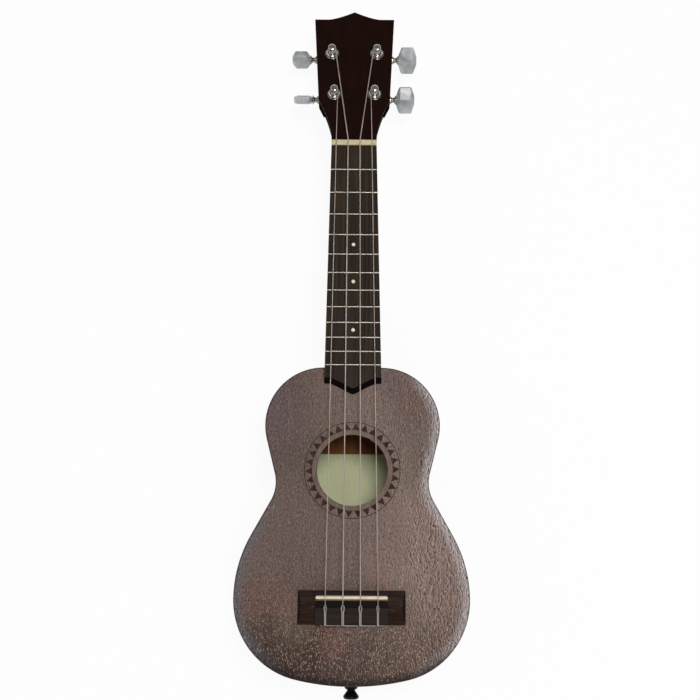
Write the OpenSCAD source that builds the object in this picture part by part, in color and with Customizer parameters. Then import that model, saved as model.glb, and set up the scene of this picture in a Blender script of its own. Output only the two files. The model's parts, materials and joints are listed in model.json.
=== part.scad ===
// Soprano ukulele lying on its back.
// X runs across the body, Y from the tail to the headstock, Z up from the back to the strings.
// The origin is on the back's outer face, on the centreline, straight under the saddle.
// Strings are named by pitch from left to right, looking at the soundboard: g, c, e, a.

/* [Strings] */
// String length from the nut to the saddle, before compensation
scale_length = 346; // [336:1:356]
// Extra string length at the saddle
compensation = 2; // [0:0.5:4]
// Distance between the outer strings at the nut
nut_spacing = 27.9; // [26:0.1:29]
// Distance between the outer strings at the saddle
saddle_spacing = 39.3; // [37:0.1:42]
// Diameter of the G string
g_string_d = 0.65; // [0.5:0.05:0.9]
// Diameter of the C string
c_string_d = 0.9; // [0.6:0.05:1]
// Diameter of the E string
e_string_d = 0.8; // [0.6:0.05:1]
// Diameter of the A string
a_string_d = 0.65; // [0.5:0.05:0.9]
// Gap between the strings and the twelfth fret
action = 2.6; // [2:0.1:4]
// Gap between the strings and the fret tops at the nut
nut_action = 0.5; // [0.3:0.1:1]
// Turns of string on each tuner post
winding_turns = 2; // [1:1:2]

/* [Body] */
// Length of the body from the tail to the neck joint
body_length = 239.5; // [230:0.5:250]
// Distance from the saddle line to the tail
saddle_to_tail = 66; // [62:0.5:70]
// Depth of the body over both plates
body_depth = 60; // [54:1:68]
// Width of the lower bout
lower_bout = 178; // [172:1:186]
// Width of the waist
waist = 116.4; // [108:0.2:122]
// Width of the upper bout
upper_bout = 133.6; // [128:0.2:142]
// Place of the widest lower bout, from the saddle line
lower_bout_y = -2; // [-6:0.5:4]
// Distance from the waist to the neck joint
waist_to_joint = 88; // [82:0.5:94]
// Radius of the tail end
tail_r = 184; // [150:1:240]
// Radius of the waist
waist_r = 28; // [20:1:36]
// Radius of the shoulders
shoulder_r = 44.5; // [40:0.5:48]
// Fullness of the flanks, where 1 leaves no straight stretch before the waist
flank_fullness = 0.87; // [0.7:0.01:0.97]
// Thickness of the soundboard
top_t = 2.5; // [1.6:0.1:3]
// Thickness of the back
back_t = 2.8; // [1.6:0.1:3]
// Thickness of the sides
side_t = 2.2; // [1.5:0.1:3]
// Width of the linings
lining_w = 5; // [4:0.5:7]
// Height of the linings
lining_h = 7; // [5:0.5:10]
// Diameter of the soundhole
soundhole_d = 54; // [48:1:60]
// Distance from the soundhole's centre to the neck joint
soundhole_to_joint = 78.7; // [74:0.1:84]

/* [Blocks and braces] */
// Width of the neck block
neck_block_w = 44; // [36:1:50]
// Depth of the neck block along the body
neck_block_l = 14; // [13:1:20]
// Width of the tail block
tail_block_w = 64; // [40:1:70]
// Depth of the tail block along the body
tail_block_l = 18; // [12:1:20]
// Width of a brace
brace_w = 7; // [5:0.5:10]
// Height of a brace on the soundboard
top_brace_h = 7; // [5:0.5:10]
// Height of a brace on the back
back_brace_h = 9; // [6:0.5:12]
// Distance from the soundhole's centre to the braces beside it
top_brace_offset = 39; // [36:1:44]
// Distance from the soundhole's centre to the braces of the back
back_brace_offset = 48; // [42:1:54]
// Thickness of the bridge plate
bridge_plate_t = 2.4; // [1.5:0.1:4]
// Distance that the bridge plate reaches past the bridge
bridge_plate_margin = 4; // [1:0.5:4.5]
// Width of the paper label on the back
label_w = 70; // [60:1:80]
// Height of the paper label along the body
label_h = 56; // [40:1:60]
// Distance from the soundhole's centre to the label's upper edge
label_rise = 15; // [10:0.2:20]
// Thickness of the label's paper
label_t = 0.3; // [0.2:0.05:0.5]

/* [Neck] */
// Width of the nut
nut_w = 35.4; // [34:0.2:38]
// Thickness of the nut along the strings
nut_t = 4.1; // [3.6:0.1:5.5]
// Width of the fretboard at the twelfth fret
fretboard_w12 = 43.2; // [40:0.2:44]
// Thickness of the fretboard
fretboard_t = 4.5; // [3.5:0.1:6]
// Distance from the last fret to the fretboard's shoulders
fretboard_overhang = 9.8; // [7:0.1:12]
// Length of the point at the fretboard's end
fretboard_point = 8.2; // [4:0.1:9]
// Flat width beside that point on each side
fretboard_flat = 4; // [3:0.5:8]
// Distance that the fretboard's end slopes out below its upper edge
fretboard_slope = 4.4; // [1:0.1:6]
// Number of frets
fret_count = 12; // [12:1:12]
// Width of a fret's crown
fret_w = 2; // [1.6:0.1:2.4]
// Depth of a fret's tang
tang_h = 1.6; // [1:0.1:2]
// Thickness of a fret's tang
tang_t = 0.6; // [0.4:0.1:0.8]
// Diameter of the position dots
dot_d = 2.8; // [2.4:0.1:6]
// Thickness of the position dots
dot_t = 1.5; // [1:0.1:2]
// Depth of the neck under the fretboard at the nut
neck_depth_nut = 12.5; // [11:0.5:16]
// Depth of the neck under the fretboard at the heel
neck_depth_heel = 14; // [12:0.5:18]
// Gap between the heel's end and the back's outer face
heel_end = 7; // [4:1:14]
// Length of the heel's foot along the neck
heel_foot = 9; // [7:0.5:14]
// Length of the curve from the heel to the neck
heel_curve = 34; // [26:1:44]
// Diameter of the dowels in the neck joint
dowel_d = 8; // [6:0.5:9]
// Depth of each dowel in the heel
dowel_reach = 11; // [8:0.5:12]
// Distance between the dowels
dowel_spacing = 16; // [14:0.5:20]

/* [Headstock] */
// Angle between the headstock and the neck
headstock_tilt = 13; // [9:0.5:16]
// Thickness of the headstock without its veneer
headstock_t = 11.5; // [10.5:0.5:14]
// Thickness of the face veneer
veneer_t = 1; // [0.6:0.1:1.6]
// Length of the headstock from the nut to its upper corners
corner_v = 113.5; // [110:0.5:118]
// Height of the point over the upper corners
crown_h = 7.2; // [4:0.2:9]
// Flat width beside the point on each side
crown_flat = 11.5; // [8:0.5:14]
// Width of the headstock at its upper corners
headstock_top_w = 64.6; // [62:0.2:68]
// Width of the headstock at its shoulders
headstock_low_w = 56.8; // [55:0.2:58]
// Length of the flare from the nut to the shoulders
flare_l = 37.4; // [34:0.1:39]
// Place of the splice between neck and headstock, past the nut
splice_v = 26.5; // [23:0.5:27]

/* [Tuners] */
// Place of the upper posts along the headstock
upper_post_v = 80.6; // [78:0.1:84]
// Place of the lower posts along the headstock
lower_post_v = 42.8; // [41:0.1:45]
// Distance between the upper posts
upper_post_gap = 36.2; // [34:0.2:38]
// Distance between the lower posts
lower_post_gap = 32; // [31:0.2:34]
// Diameter of a post in its bushing
post_d = 6; // [5:0.1:6.4]
// Diameter of a post where the string winds
post_waist_d = 4.8; // [4:0.1:5]
// Height of a post over the headstock's face
post_h = 10.4; // [10.2:0.1:12]
// Thickness of the washer under the nut
washer_t = 0.8; // [0.5:0.1:1.2]
// Diameter of the washer
washer_d = 10.8; // [10.4:0.1:13]
// Diameter of the bushing nut
bushing_d = 9.4; // [9:0.1:10.2]
// Height of the bushing nut
bushing_h = 2.6; // [2:0.1:2.8]
// Diameter of the hole in the headstock
post_hole_d = 8.6; // [8.2:0.1:9]
// Teeth on the gear
gear_teeth = 14; // [14:1:14]
// Pitch of the worm thread
worm_pitch = 1.6; // [1.5:0.01:1.7]
// Radius of the worm at its pitch line
worm_pitch_r = 1.9; // [1.8:0.05:2.1]
// Height of thread and teeth to each side of the pitch line
tooth_h = 0.37; // [0.3:0.01:0.4]
// Extra distance between worm and gear
mesh_gap = 0.2; // [0.15:0.01:0.3]
// Thickness of the gear
gear_t = 2.6; // [2:0.1:3]
// Distance from the headstock's back to the worm's axis
worm_drop = 5.2; // [5:0.1:5.6]
// Radius of the gear case
case_r = 7.4; // [7.2:0.1:8]
// Height of the gear case behind the headstock
case_h = 9.4; // [9.2:0.1:10.5]
// Thickness of the cover
cover_t = 1; // [0.6:0.1:1.2]
// Distance from the post to the inner end of the button
button_x = 17.8; // [17:0.1:20]
// Length of a button along its shaft
button_l = 15; // [13:0.5:17]
// Width of a button across its shaft
button_w = 21.2; // [19:0.2:24]
// Thickness of a button
button_t = 7.4; // [6:0.2:8]

/* [Bridge] */
// Length of the bridge across the soundboard
bridge_w = 80.8; // [76:0.2:86]
// Distance from the saddle line to the bridge's front edge
bridge_front = 4.8; // [4:0.1:6]
// Distance from the saddle line to the bridge's rear edge
bridge_rear = 20.4; // [19:0.1:23]
// Width of the raised middle of the bridge
bridge_block_w = 54.6; // [54:0.2:58]
// Height of the rail that holds the saddle
rail_h = 7; // [6.4:0.1:8]
// Height of the block that the strings tie to
tie_block_h = 6; // [5.4:0.1:6.4]
// Height of the wings
wing_h = 3.8; // [3:0.1:4.4]
// Rise of the wings from their front and rear edges to the middle
wing_crown = 2.2; // [1:0.1:2.4]
// Length of the bevel at the end of each wing
wing_bevel = 2.4; // [1.6:0.1:4]
// Distance from the saddle line to the channel behind it
channel_front = 2.5; // [2.3:0.1:3]
// Distance from the saddle line to the front of the tie block
channel_rear = 8; // [7.6:0.1:9]
// Height of the channel's floor
channel_h = 2.9; // [2.4:0.1:3]
// Length of the saddle
saddle_l = 53.6; // [50:0.2:54]
// Thickness of the saddle
saddle_t = 2.6; // [2.4:0.1:3.2]
// Height of the saddle's foot over the soundboard
saddle_foot = 3.4; // [3:0.1:4]
// Diameter of the string holes in the tie block
tie_hole_d = 1.5; // [1.4:0.1:1.7]
// Height of the string holes over the soundboard
tie_hole_h = 3.2; // [3:0.1:3.4]
// Length of a string's tail along the bridge
string_tail = 11; // [4:0.1:11.2]
// Length of the last string's tail
last_tail = 6.5; // [3:0.1:8]

/* [Strap button] */
// Length of the strap button
strap_l = 12.5; // [9:0.5:14]
// Diameter of the strap button's flared end
strap_d = 12; // [10:0.2:14]
// Diameter of its waist
strap_waist_d = 6.4; // [5.8:0.1:7]
// Diameter of its foot
strap_foot_d = 10; // [8:0.2:11]
// Thickness of its foot
strap_foot_t = 5; // [2:0.1:5.4]
// Diameter of its screw
strap_screw_d = 3; // [2.5:0.1:3.4]
// Length of its screw in the body
strap_screw_l = 11; // [8:0.5:13]

/* [Fits] */
// Gap around glued and seated pieces
seat_gap = 0.05; // [0.03:0.01:0.1]
// Gap around turning shafts
run_gap = 0.05; // [0.03:0.01:0.08]
// Gap between one turn of string and the next
turn_gap = 0.45; // [0.42:0.01:0.5]

/* [Hidden] */
$fn = 48;
eps = 0.01;

// Main stations along the centreline and over the back
y_tail = -saddle_to_tail;
y_joint = y_tail + body_length;
waist_y = y_joint - waist_to_joint;
soundhole_y = y_joint - soundhole_to_joint;
y_nut = scale_length + compensation;
y_head = y_nut + nut_t;
z_top = body_depth;
z_board = z_top + fretboard_t;
fret_h = fret_w / 2;
z_fret = z_board + fret_h;
z_nut_string = z_fret + nut_action;
z_saddle = z_nut_string + (action - nut_action) * y_nut / (scale_length / 2);

// Body outline: arc centres and the tangents between them
half_lower = lower_bout / 2;
half_waist = waist / 2;
half_upper = upper_bout / 2;
tail_h = lower_bout_y - y_tail;
lower_r = (2 * tail_h * tail_r - half_lower * half_lower - tail_h * tail_h)
    / (2 * (tail_r - half_lower));
tail_c = [0, y_tail + tail_r];
lower_c = [half_lower - lower_r, lower_bout_y];
flank_drop = half_lower - half_waist;
flank_rise = waist_y - lower_bout_y;
flank_limit = (flank_drop * flank_drop + flank_rise * flank_rise) / (2 * flank_drop);
flank_r = flank_fullness * (flank_limit - waist_r);
flank_c = [half_lower - flank_r, lower_bout_y];
waist_c = [half_waist + waist_r, waist_y];
shoulder_c = [half_upper - shoulder_r, y_joint - shoulder_r];
tail_a = atan2(lower_c.y - tail_c.y, lower_c.x - tail_c.x);
flank_a = heading(waist_c - flank_c) - acos((flank_r + waist_r) / norm(waist_c - flank_c));
shoulder_a = heading(waist_c - shoulder_c)
    + acos((shoulder_r + waist_r) / norm(waist_c - shoulder_c));

function heading(v) = atan2(v.y, v.x);
function arc(c, r, a0, a1, n) =
    [for (i = [0:n]) c + r * [cos(a0 + (a1 - a0) * i / n), sin(a0 + (a1 - a0) * i / n)]];

// Right half of the outline, from the tail to the neck joint, set in by d
function half_outline(d) = concat(
    arc(tail_c, tail_r - d, -90, tail_a, 6),
    arc(lower_c, lower_r - d, tail_a * 0.95, 0, 19),
    arc(flank_c, flank_r - d, 1, flank_a, 10),
    arc(waist_c, waist_r + d, flank_a + 180, shoulder_a + 180, 12),
    arc(shoulder_c, shoulder_r - d, shoulder_a, 90, 24)
);
function outline(d) = let (h = half_outline(d))
    concat(h, [for (i = [len(h) - 1:-1:1]) [-h[i].x, h[i].y]]);

module body_area(d) {
    polygon(outline(d));
}

// Vectors, tubes and skins
function unit(v) = v / norm(v);
function ramp(t) = let (c = min(max(t, 0), 1)) c * c * (3 - 2 * c);
function last(list) = list[len(list) - 1];

// Route with each corner eased over the length r in n steps
function eased(p, r, n) = concat(
    [p[0]],
    [for (i = [1:len(p) - 2])
        let (
            u = p[i - 1] - p[i],
            v = p[i + 1] - p[i],
            t = min(r, norm(u) * 0.48, norm(v) * 0.48),
            a = p[i] + t * unit(u),
            b = p[i] + t * unit(v)
        )
        for (k = [0:n])
            let (s = k / n) (1 - s) * (1 - s) * a + 2 * s * (1 - s) * p[i] + s * s * b],
    [last(p)]
);

function headings(p) = [for (i = [0:len(p) - 1])
    i == 0 ? unit(p[1] - p[0])
    : i == len(p) - 1 ? unit(p[i] - p[i - 1])
    : unit(unit(p[i + 1] - p[i]) + unit(p[i] - p[i - 1]))];

// Side vectors carried along the headings without twisting
function carried(t, start) = [for (
    i = 0, m = unit(start - (start * t[0]) * t[0]);
    i < len(t);
    i = i + 1, m = i < len(t) ? unit(m - (m * t[i]) * t[i]) : m
) m];

function tube_rings(p, r, sides, start) = let (t = headings(p), m = carried(t, start))
    [for (i = [0:len(p) - 1]) [for (k = [0:sides - 1])
        p[i] + r * (cos(360 * k / sides) * m[i] + sin(360 * k / sides) * cross(t[i], m[i]))]];

// Closed skin over rings of points that turn left about the way they go
module skin(rings) {
    n = len(rings[0]);
    e = (len(rings) - 1) * n;
    polyhedron(
        points = [for (ring = rings) each ring],
        faces = concat(
            [for (i = [0:len(rings) - 2]) for (k = [0:n - 1]) each [
                [i * n + k, (i + 1) * n + k, (i + 1) * n + (k + 1) % n],
                [i * n + k, (i + 1) * n + (k + 1) % n, i * n + (k + 1) % n]]],
            [for (k = [1:n - 2]) [0, k, k + 1]],
            [for (k = [1:n - 2]) [e, e + k + 1, e + k]]
        )
    );
}

module tube(p, d, sides, start) {
    skin(tube_rings(p, d / 2, sides, start));
}

// Body
wood_color = [0.41, 0.33, 0.3];
inner_color = [0.62, 0.44, 0.29];
dark_color = [0.2, 0.165, 0.14];
cream_color = [0.86, 0.8, 0.66];
chrome_color = [0.8, 0.8, 0.82];
string_color = [0.64, 0.58, 0.56];
z_inner_top = z_top - top_t;
inset = side_t + lining_w;

module soundboard() {
    color(wood_color)
    translate([0, 0, z_inner_top]) linear_extrude(top_t) difference() {
        body_area(0);
        translate([0, soundhole_y]) circle(d = soundhole_d, $fn = 96);
    }
}

module back() {
    color(wood_color) linear_extrude(back_t) body_area(0);
}

// Dowels cross the neck joint side by side, under the neck's middle
dowel_z = z_top - neck_depth_heel - dowel_d / 2 - 2;
dowel_block_reach = neck_block_l - 3;

module dowel_holes(gap) {
    for (s = [-1, 1])
        translate([s * dowel_spacing / 2, y_joint - side_t - dowel_block_reach - gap, dowel_z])
            rotate([-90, 0, 0])
            cylinder(h = dowel_block_reach + side_t + dowel_reach + 2 * gap, d = dowel_d + 2 * gap);
}

module strap_screw_hole() {
    translate([0, y_tail - eps, body_depth / 2]) rotate([-90, 0, 0])
        cylinder(h = strap_screw_l + 1, d = strap_screw_d + 2 * seat_gap);
}

// One half of the rim, to the left for s = -1 and to the right for s = 1
module side(s) {
    color(wood_color) difference() {
        translate([0, 0, back_t]) linear_extrude(z_inner_top - back_t) difference() {
            body_area(0);
            body_area(side_t);
            translate([s > 0 ? -lower_bout : 0, 2 * y_tail])
                square([lower_bout, 2 * body_length]);
        }
        dowel_holes(seat_gap);
        strap_screw_hole();
    }
}

module block_space(w, l, at_neck) {
    translate([-w / 2, at_neck ? y_joint - side_t - l : y_tail - eps])
        square([w, at_neck ? l + side_t : side_t + l]);
}

module linings(z) {
    color(inner_color) translate([0, 0, z]) linear_extrude(lining_h) difference() {
        body_area(side_t);
        body_area(inset);
        block_space(neck_block_w + 2 * seat_gap, neck_block_l, true);
        block_space(tail_block_w + 2 * seat_gap, tail_block_l, false);
    }
}

module neck_block() {
    color(inner_color) difference() {
        translate([0, 0, back_t]) linear_extrude(z_inner_top - back_t) intersection() {
            body_area(side_t);
            block_space(neck_block_w, neck_block_l, true);
        }
        dowel_holes(seat_gap);
    }
}

module tail_block() {
    color(inner_color) difference() {
        translate([0, 0, back_t]) linear_extrude(z_inner_top - back_t) intersection() {
            body_area(side_t);
            block_space(tail_block_w, tail_block_l, false);
        }
        strap_screw_hole();
    }
}

// Cross bars glued to a plate, ending at the linings
module braces(z, h, offset_y) {
    color(inner_color) translate([0, 0, z]) linear_extrude(h) intersection() {
        body_area(inset + seat_gap);
        for (s = [-1, 1])
            translate([-lower_bout / 2, soundhole_y + s * offset_y - brace_w / 2])
                square([lower_bout, brace_w]);
    }
}

module bridge_plate() {
    w = bridge_w - 2 * bridge_plate_margin;
    l = bridge_front + bridge_rear + 2 * bridge_plate_margin;
    color(inner_color)
    translate([-w / 2, -bridge_rear - bridge_plate_margin, z_inner_top - bridge_plate_t])
        cube([w, l, bridge_plate_t]);
}

module label() {
    color([0.68, 0.7, 0.5]) translate([-label_w / 2, soundhole_y + label_rise - label_h, back_t])
        cube([label_w, label_h, label_t]);
}

// Neck
fret_half = (fretboard_w12 - nut_w) / scale_length;
function board_half(y) = nut_w / 2 + fret_half * (y_nut - y);
function fret_y(n) = y_nut - scale_length * (1 - pow(2, -n / 12));

// Half width of the headstock at the distance v from the nut: the flare eased into the straight side
shoulder_ease = 0.7;
function flare_half(v) = (nut_w + (headstock_low_w - nut_w) * pow(max(v, 0) / flare_l, 1.8)) / 2;
function side_half(v) =
    (headstock_low_w + (headstock_top_w - headstock_low_w) * (v - flare_l) / (corner_v - flare_l)) / 2;
function head_half(v) = let (
    a = flare_half(v),
    b = side_half(v),
    h = max(shoulder_ease - abs(a - b), 0)
) min(a, b) - h * h / (4 * shoulder_ease);

tilt_slope = tan(headstock_tilt);
splice_y = y_head + splice_v * cos(headstock_tilt);
bend_l = 16;

// Drop of the neck's underside where it bends into the headstock
function bend_drop(y) = let (s = y - y_head)
    s < -bend_l ? 0 : s > bend_l ? s * tilt_slope : tilt_slope * pow(s + bend_l, 2) / (4 * bend_l);

// Cross-section that runs from square-edged at the top to round underneath
neck_steps = 24;
function neck_ring(y, z, half, depth, square, taper) = [for (i = [0:neck_steps])
    let (
        a = 180 * i / neck_steps,
        v = pow(sin(a), 2 / square),
        x = sign(cos(a)) * pow(abs(cos(a)), 2 / square) * (1 - taper * v)
    )
    [half * x, y, z - depth * v]];

heel_depth = z_top - heel_end;
shaft_y = y_joint + heel_foot + heel_curve;
function shaft_depth(y) =
    neck_depth_nut + (neck_depth_heel - neck_depth_nut) * (y_nut - y) / (y_nut - y_joint);
function shaft_ring(y) = neck_ring(y, z_top, board_half(y), shaft_depth(y) + bend_drop(y), 2.3, 0);

// a runs from 0 at the heel's foot to 90 where the curve meets the neck
function heel_ring(a) = let (y = y_joint + heel_foot + heel_curve * (1 - cos(a)))
    neck_ring(y, z_top, board_half(y),
        shaft_depth(y) + (heel_depth - shaft_depth(y)) * (1 - sin(a)),
        2.3 + 0.5 * cos(a), 0.5 * (1 - sin(a)));

// t runs from 0 at the nut to 1 at the splice
function head_ring(t) = let (
    y = y_head + t * (splice_y - y_head),
    v = t * splice_v,
    z = z_top - (y - y_head) * tilt_slope,
    low = z_top - neck_depth_nut - bend_drop(y),
    flat = z - headstock_t / cos(headstock_tilt)
) neck_ring(y, z, head_half(v), z - low + (low - flat) * ramp(t), 2.3 + 70 * pow(ramp(t), 2), 0);

module neck() {
    color(wood_color) difference() {
        skin(concat(
            [neck_ring(y_joint, z_top, board_half(y_joint), heel_depth, 2.8, 0.5)],
            [for (a = [0:10:80]) heel_ring(a)],
            [for (i = [0:5]) shaft_ring(shaft_y + (y_head - bend_l - shaft_y) * i / 5)],
            [for (i = [1:4]) shaft_ring(y_head - bend_l + bend_l * i / 5)],
            [for (i = [0:16]) head_ring(i / 16)]
        ));
        dowel_holes(seat_gap);
    }
}

module neck_dowels() {
    color(inner_color) dowel_holes(0);
}

// Everything on the headstock is drawn in its own plane: x across, y from the nut to the point,
// z out of the face, with z = 0 between the wood and the veneer
module on_headstock() {
    translate([0, y_head, z_top]) rotate([-headstock_tilt, 0, 0]) children();
}

function head_outline(v0) = let (
    crown_w = headstock_top_w / 2 - crown_flat,
    eased_v = flare_l + 2 * shoulder_ease,
    side = [for (i = [0:24]) let (v = v0 + (eased_v - v0) * i / 24) [head_half(v), v]],
    crown = [for (i = [0:12]) let (s = i / 12)
        [crown_w * (1 - s), corner_v + crown_h * pow(s, 1.4)]],
    h = concat(side, [[headstock_top_w / 2, corner_v]], crown)
) concat(h, [for (i = [len(h) - 2:-1:0]) [-h[i].x, h[i].y]]);

module past(y) {
    translate([-lower_bout, y - lower_bout, z_top - lower_bout])
        cube([2 * lower_bout, lower_bout, 2 * lower_bout]);
}

module post_holes() {
    for (i = [0:3])
        at_post(i) translate([0, 0, -headstock_t - eps])
            cylinder(h = headstock_t + veneer_t + 2 * eps, d = post_hole_d);
}

module headstock() {
    color(wood_color) difference() {
        on_headstock() translate([0, 0, -headstock_t])
            linear_extrude(headstock_t) polygon(head_outline(splice_v - 4));
        past(splice_y);
        post_holes();
        for (i = [0:3]) at_post(i) mount_screw_hole();
    }
}

module headstock_veneer() {
    color([0.12, 0.06, 0.05]) difference() {
        on_headstock() linear_extrude(veneer_t) polygon(head_outline(-veneer_t));
        past(y_head);
        post_holes();
    }
}

shoulder_y = fret_y(fret_count) - fretboard_overhang;
end_y = shoulder_y - fretboard_point - fretboard_slope;
end_tilt = atan(fretboard_slope / fretboard_t);

function board_part(y0, y1) =
    [[board_half(y0), y0], [board_half(y1), y1], [-board_half(y1), y1], [-board_half(y0), y0]];

// Distance from the point, as a share of its width, with the tip rounded over
tip_round = 0.08;
function rounded(t) = (norm([t, tip_round]) - tip_round) / (norm([1, tip_round]) - tip_round);

// The end's upper edge, from the shoulders to the point, with a margin past the sides
function end_outline() = let (
    w = board_half(shoulder_y),
    p = w - fretboard_flat,
    h = concat(
        [[2 * w, fretboard_t + fretboard_slope], [2 * w, 0]],
        [for (i = [0:14]) let (s = 1 - pow(i / 14 - 1, 2))
            [p * (1 - s), -fretboard_point * pow(1 - rounded(1 - s), 1.2)]]
    )
) concat(h, [for (i = [len(h) - 2:-1:0]) [-h[i].x, h[i].y]]);

// That edge carried down to the soundboard along the slope
module board_end() {
    reach = fretboard_t + fretboard_point + fretboard_slope;
    intersection() {
        translate([0, 0, z_top]) linear_extrude(fretboard_t) polygon(board_part(shoulder_y, end_y));
        translate([0, shoulder_y, z_board]) rotate([-end_tilt, 0, 0])
            translate([0, 0, -2 * reach]) linear_extrude(4 * reach)
            polygon([for (p = end_outline()) [p.x, p.y * cos(end_tilt)]]);
    }
}

// Dots behind the fifth, seventh and tenth frets
dot_frets = [5, 7, 10];

module dots(gap) {
    for (n = dot_frets)
        translate([0, (fret_y(n) + fret_y(n - 1)) / 2, z_board - dot_t - gap])
            cylinder(h = dot_t + gap, d = dot_d + 2 * gap);
}

module fretboard() {
    color(dark_color) difference() {
        union() {
            translate([0, 0, z_top]) linear_extrude(fretboard_t) polygon(board_part(y_nut, shoulder_y));
            board_end();
        }
        for (n = [1:fret_count])
            translate([-nut_w, fret_y(n) - tang_t / 2 - seat_gap, z_board - tang_h - seat_gap])
                cube([2 * nut_w, tang_t + 2 * seat_gap, tang_h + 1]);
        dots(seat_gap);
    }
}

module frets() {
    color(chrome_color)
    for (n = [1:fret_count]) {
        half = board_half(fret_y(n));
        translate([-half, fret_y(n), z_board]) {
            intersection() {
                rotate([0, 90, 0]) cylinder(h = 2 * half, d = fret_w);
                translate([0, -fret_w, 0]) cube([2 * half, 2 * fret_w, fret_w]);
            }
            translate([0, -tang_t / 2, -tang_h]) cube([2 * half, tang_t, tang_h + fret_h / 2]);
        }
    }
}

module position_dots() {
    color([0.93, 0.92, 0.88]) dots(0);
}

string_d = [g_string_d, c_string_d, e_string_d, a_string_d];
function nut_x(i) = nut_spacing * (i / 3 - 0.5);
function saddle_x(i) = saddle_spacing * (i / 3 - 0.5);

module nut() {
    slot_z = z_nut_string;
    color(cream_color) difference() {
        translate([-nut_w / 2, y_nut, z_top]) cube([nut_w, nut_t, slot_z + 0.55 - z_top]);
        for (i = [0:3]) translate([nut_x(i), y_nut - eps, slot_z + string_d[i] / 2]) {
            rotate([-90, 0, 0]) cylinder(h = nut_t + 2 * eps, d = string_d[i] + 2 * seat_gap);
            translate([-string_d[i] / 2 - seat_gap, 0, 0])
                cube([string_d[i] + 2 * seat_gap, nut_t + 2 * eps, 2]);
        }
    }
}

// Bridge
module saddle_area(gap) {
    w = saddle_t + 2 * gap;
    square([saddle_l - saddle_t, w], center = true);
    for (s = [-1, 1]) translate([s * (saddle_l - saddle_t) / 2, 0]) circle(d = w);
}

module bridge() {
    wing_w = (bridge_w - bridge_block_w) / 2;
    bridge_l = bridge_front + bridge_rear;
    edge_h = wing_h - wing_crown;
    block = [
        [bridge_front, 0], [bridge_front, rail_h - 2.4], [bridge_front - 1, rail_h - 0.8],
        [saddle_t / 2 + 0.5, rail_h], [-channel_front, rail_h], [-channel_front, channel_h],
        [-channel_rear, channel_h], [-channel_rear, tie_block_h],
        [-bridge_rear + 0.8, tie_block_h], [-bridge_rear, tie_block_h - 0.8], [-bridge_rear, 0]
    ];
    wing = concat([[bridge_front, 0]],
        [for (i = [0:12]) let (s = i / 12)
            [bridge_front - bridge_l * s, edge_h + (wing_h - edge_h) * 4 * s * (1 - s)]],
        [[-bridge_rear, 0]]);
    color(dark_color) translate([0, 0, z_top]) difference() {
        union() {
            rotate([90, 0, 90]) translate([0, 0, -bridge_block_w / 2])
                linear_extrude(bridge_block_w) polygon(block);
            for (s = [0, 1]) mirror([s, 0, 0]) difference() {
                rotate([90, 0, 90]) translate([0, 0, bridge_block_w / 2 - eps])
                    linear_extrude(wing_w + eps) polygon(wing);
                translate([bridge_w / 2, 0, edge_h]) rotate([0, atan(wing_crown / wing_bevel), 0])
                    translate([-2 * wing_w, -bridge_l, 0]) cube([4 * wing_w, 2 * bridge_l, wing_h]);
            }
        }
        translate([0, 0, saddle_foot]) linear_extrude(rail_h) saddle_area(seat_gap);
        for (i = [0:3])
            translate([saddle_x(i), -bridge_rear - eps, tie_hole_h]) rotate([-90, 0, 0])
                cylinder(h = bridge_rear - channel_rear + 2 * eps, d = tie_hole_d);
    }
}

module saddle() {
    h = z_saddle - z_top - saddle_foot;
    color(cream_color) translate([0, 0, z_top + saddle_foot]) intersection() {
        linear_extrude(h) saddle_area(0);
        union() {
            translate([-saddle_l, -saddle_t, 0])
                cube([2 * saddle_l, 2 * saddle_t, h - saddle_t / 2]);
            translate([-saddle_l, 0, h - saddle_t / 2]) rotate([0, 90, 0])
                cylinder(h = 2 * saddle_l, d = saddle_t);
        }
    }
}

// Strap button, turned about an axis along -Y at the tail
module at_tail() {
    translate([0, y_tail, body_depth / 2]) rotate([90, 0, 0]) children();
}

strap_head_d = 5.4;
strap_head_h = 1.2;

module strap_button() {
    hole_r = strap_screw_d / 2 + seat_gap;
    color([0.05, 0.05, 0.05]) at_tail() rotate_extrude() polygon([
        [hole_r, 0], [strap_foot_d / 2, 0], [strap_foot_d / 2, strap_foot_t - 0.8],
        [strap_foot_d / 2 - 0.8, strap_foot_t], [strap_waist_d / 2, strap_foot_t + 0.4],
        [strap_waist_d / 2, strap_foot_t + 1.4],
        [strap_d / 2, strap_l * 0.82], [strap_d / 2, strap_l * 0.9], [strap_d / 2 - 0.9, strap_l],
        [strap_head_d / 2 + seat_gap, strap_l], [strap_head_d / 2 + seat_gap, strap_l - strap_head_h],
        [hole_r, strap_l - strap_head_h]
    ]);
}

module strap_screw() {
    color(chrome_color) at_tail() {
        translate([0, 0, -strap_screw_l])
            cylinder(h = strap_screw_l + strap_l - strap_head_h, d = strap_screw_d);
        translate([0, 0, strap_l - strap_head_h]) difference() {
            cylinder(h = strap_head_h - 0.1, d = strap_head_d);
            for (a = [0, 90]) rotate(a) translate([-1.6, -0.35, strap_head_h - 0.8])
                cube([3.2, 0.7, 1]);
        }
    }
}

// Tuners, drawn for the right-hand side with x outwards and mirrored for the left
side_of = [-1, -1, 1, 1];
post_v = [lower_post_v, upper_post_v, upper_post_v, lower_post_v];
post_x = [lower_post_gap, upper_post_gap, upper_post_gap, lower_post_gap] / 2;

module at_post(i) {
    on_headstock() translate([side_of[i] * post_x[i], post_v[i], 0])
        mirrored(side_of[i] < 0) children();
}

module mirrored(yes) {
    if (yes) mirror([1, 0, 0]) children();
    else children();
}

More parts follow.
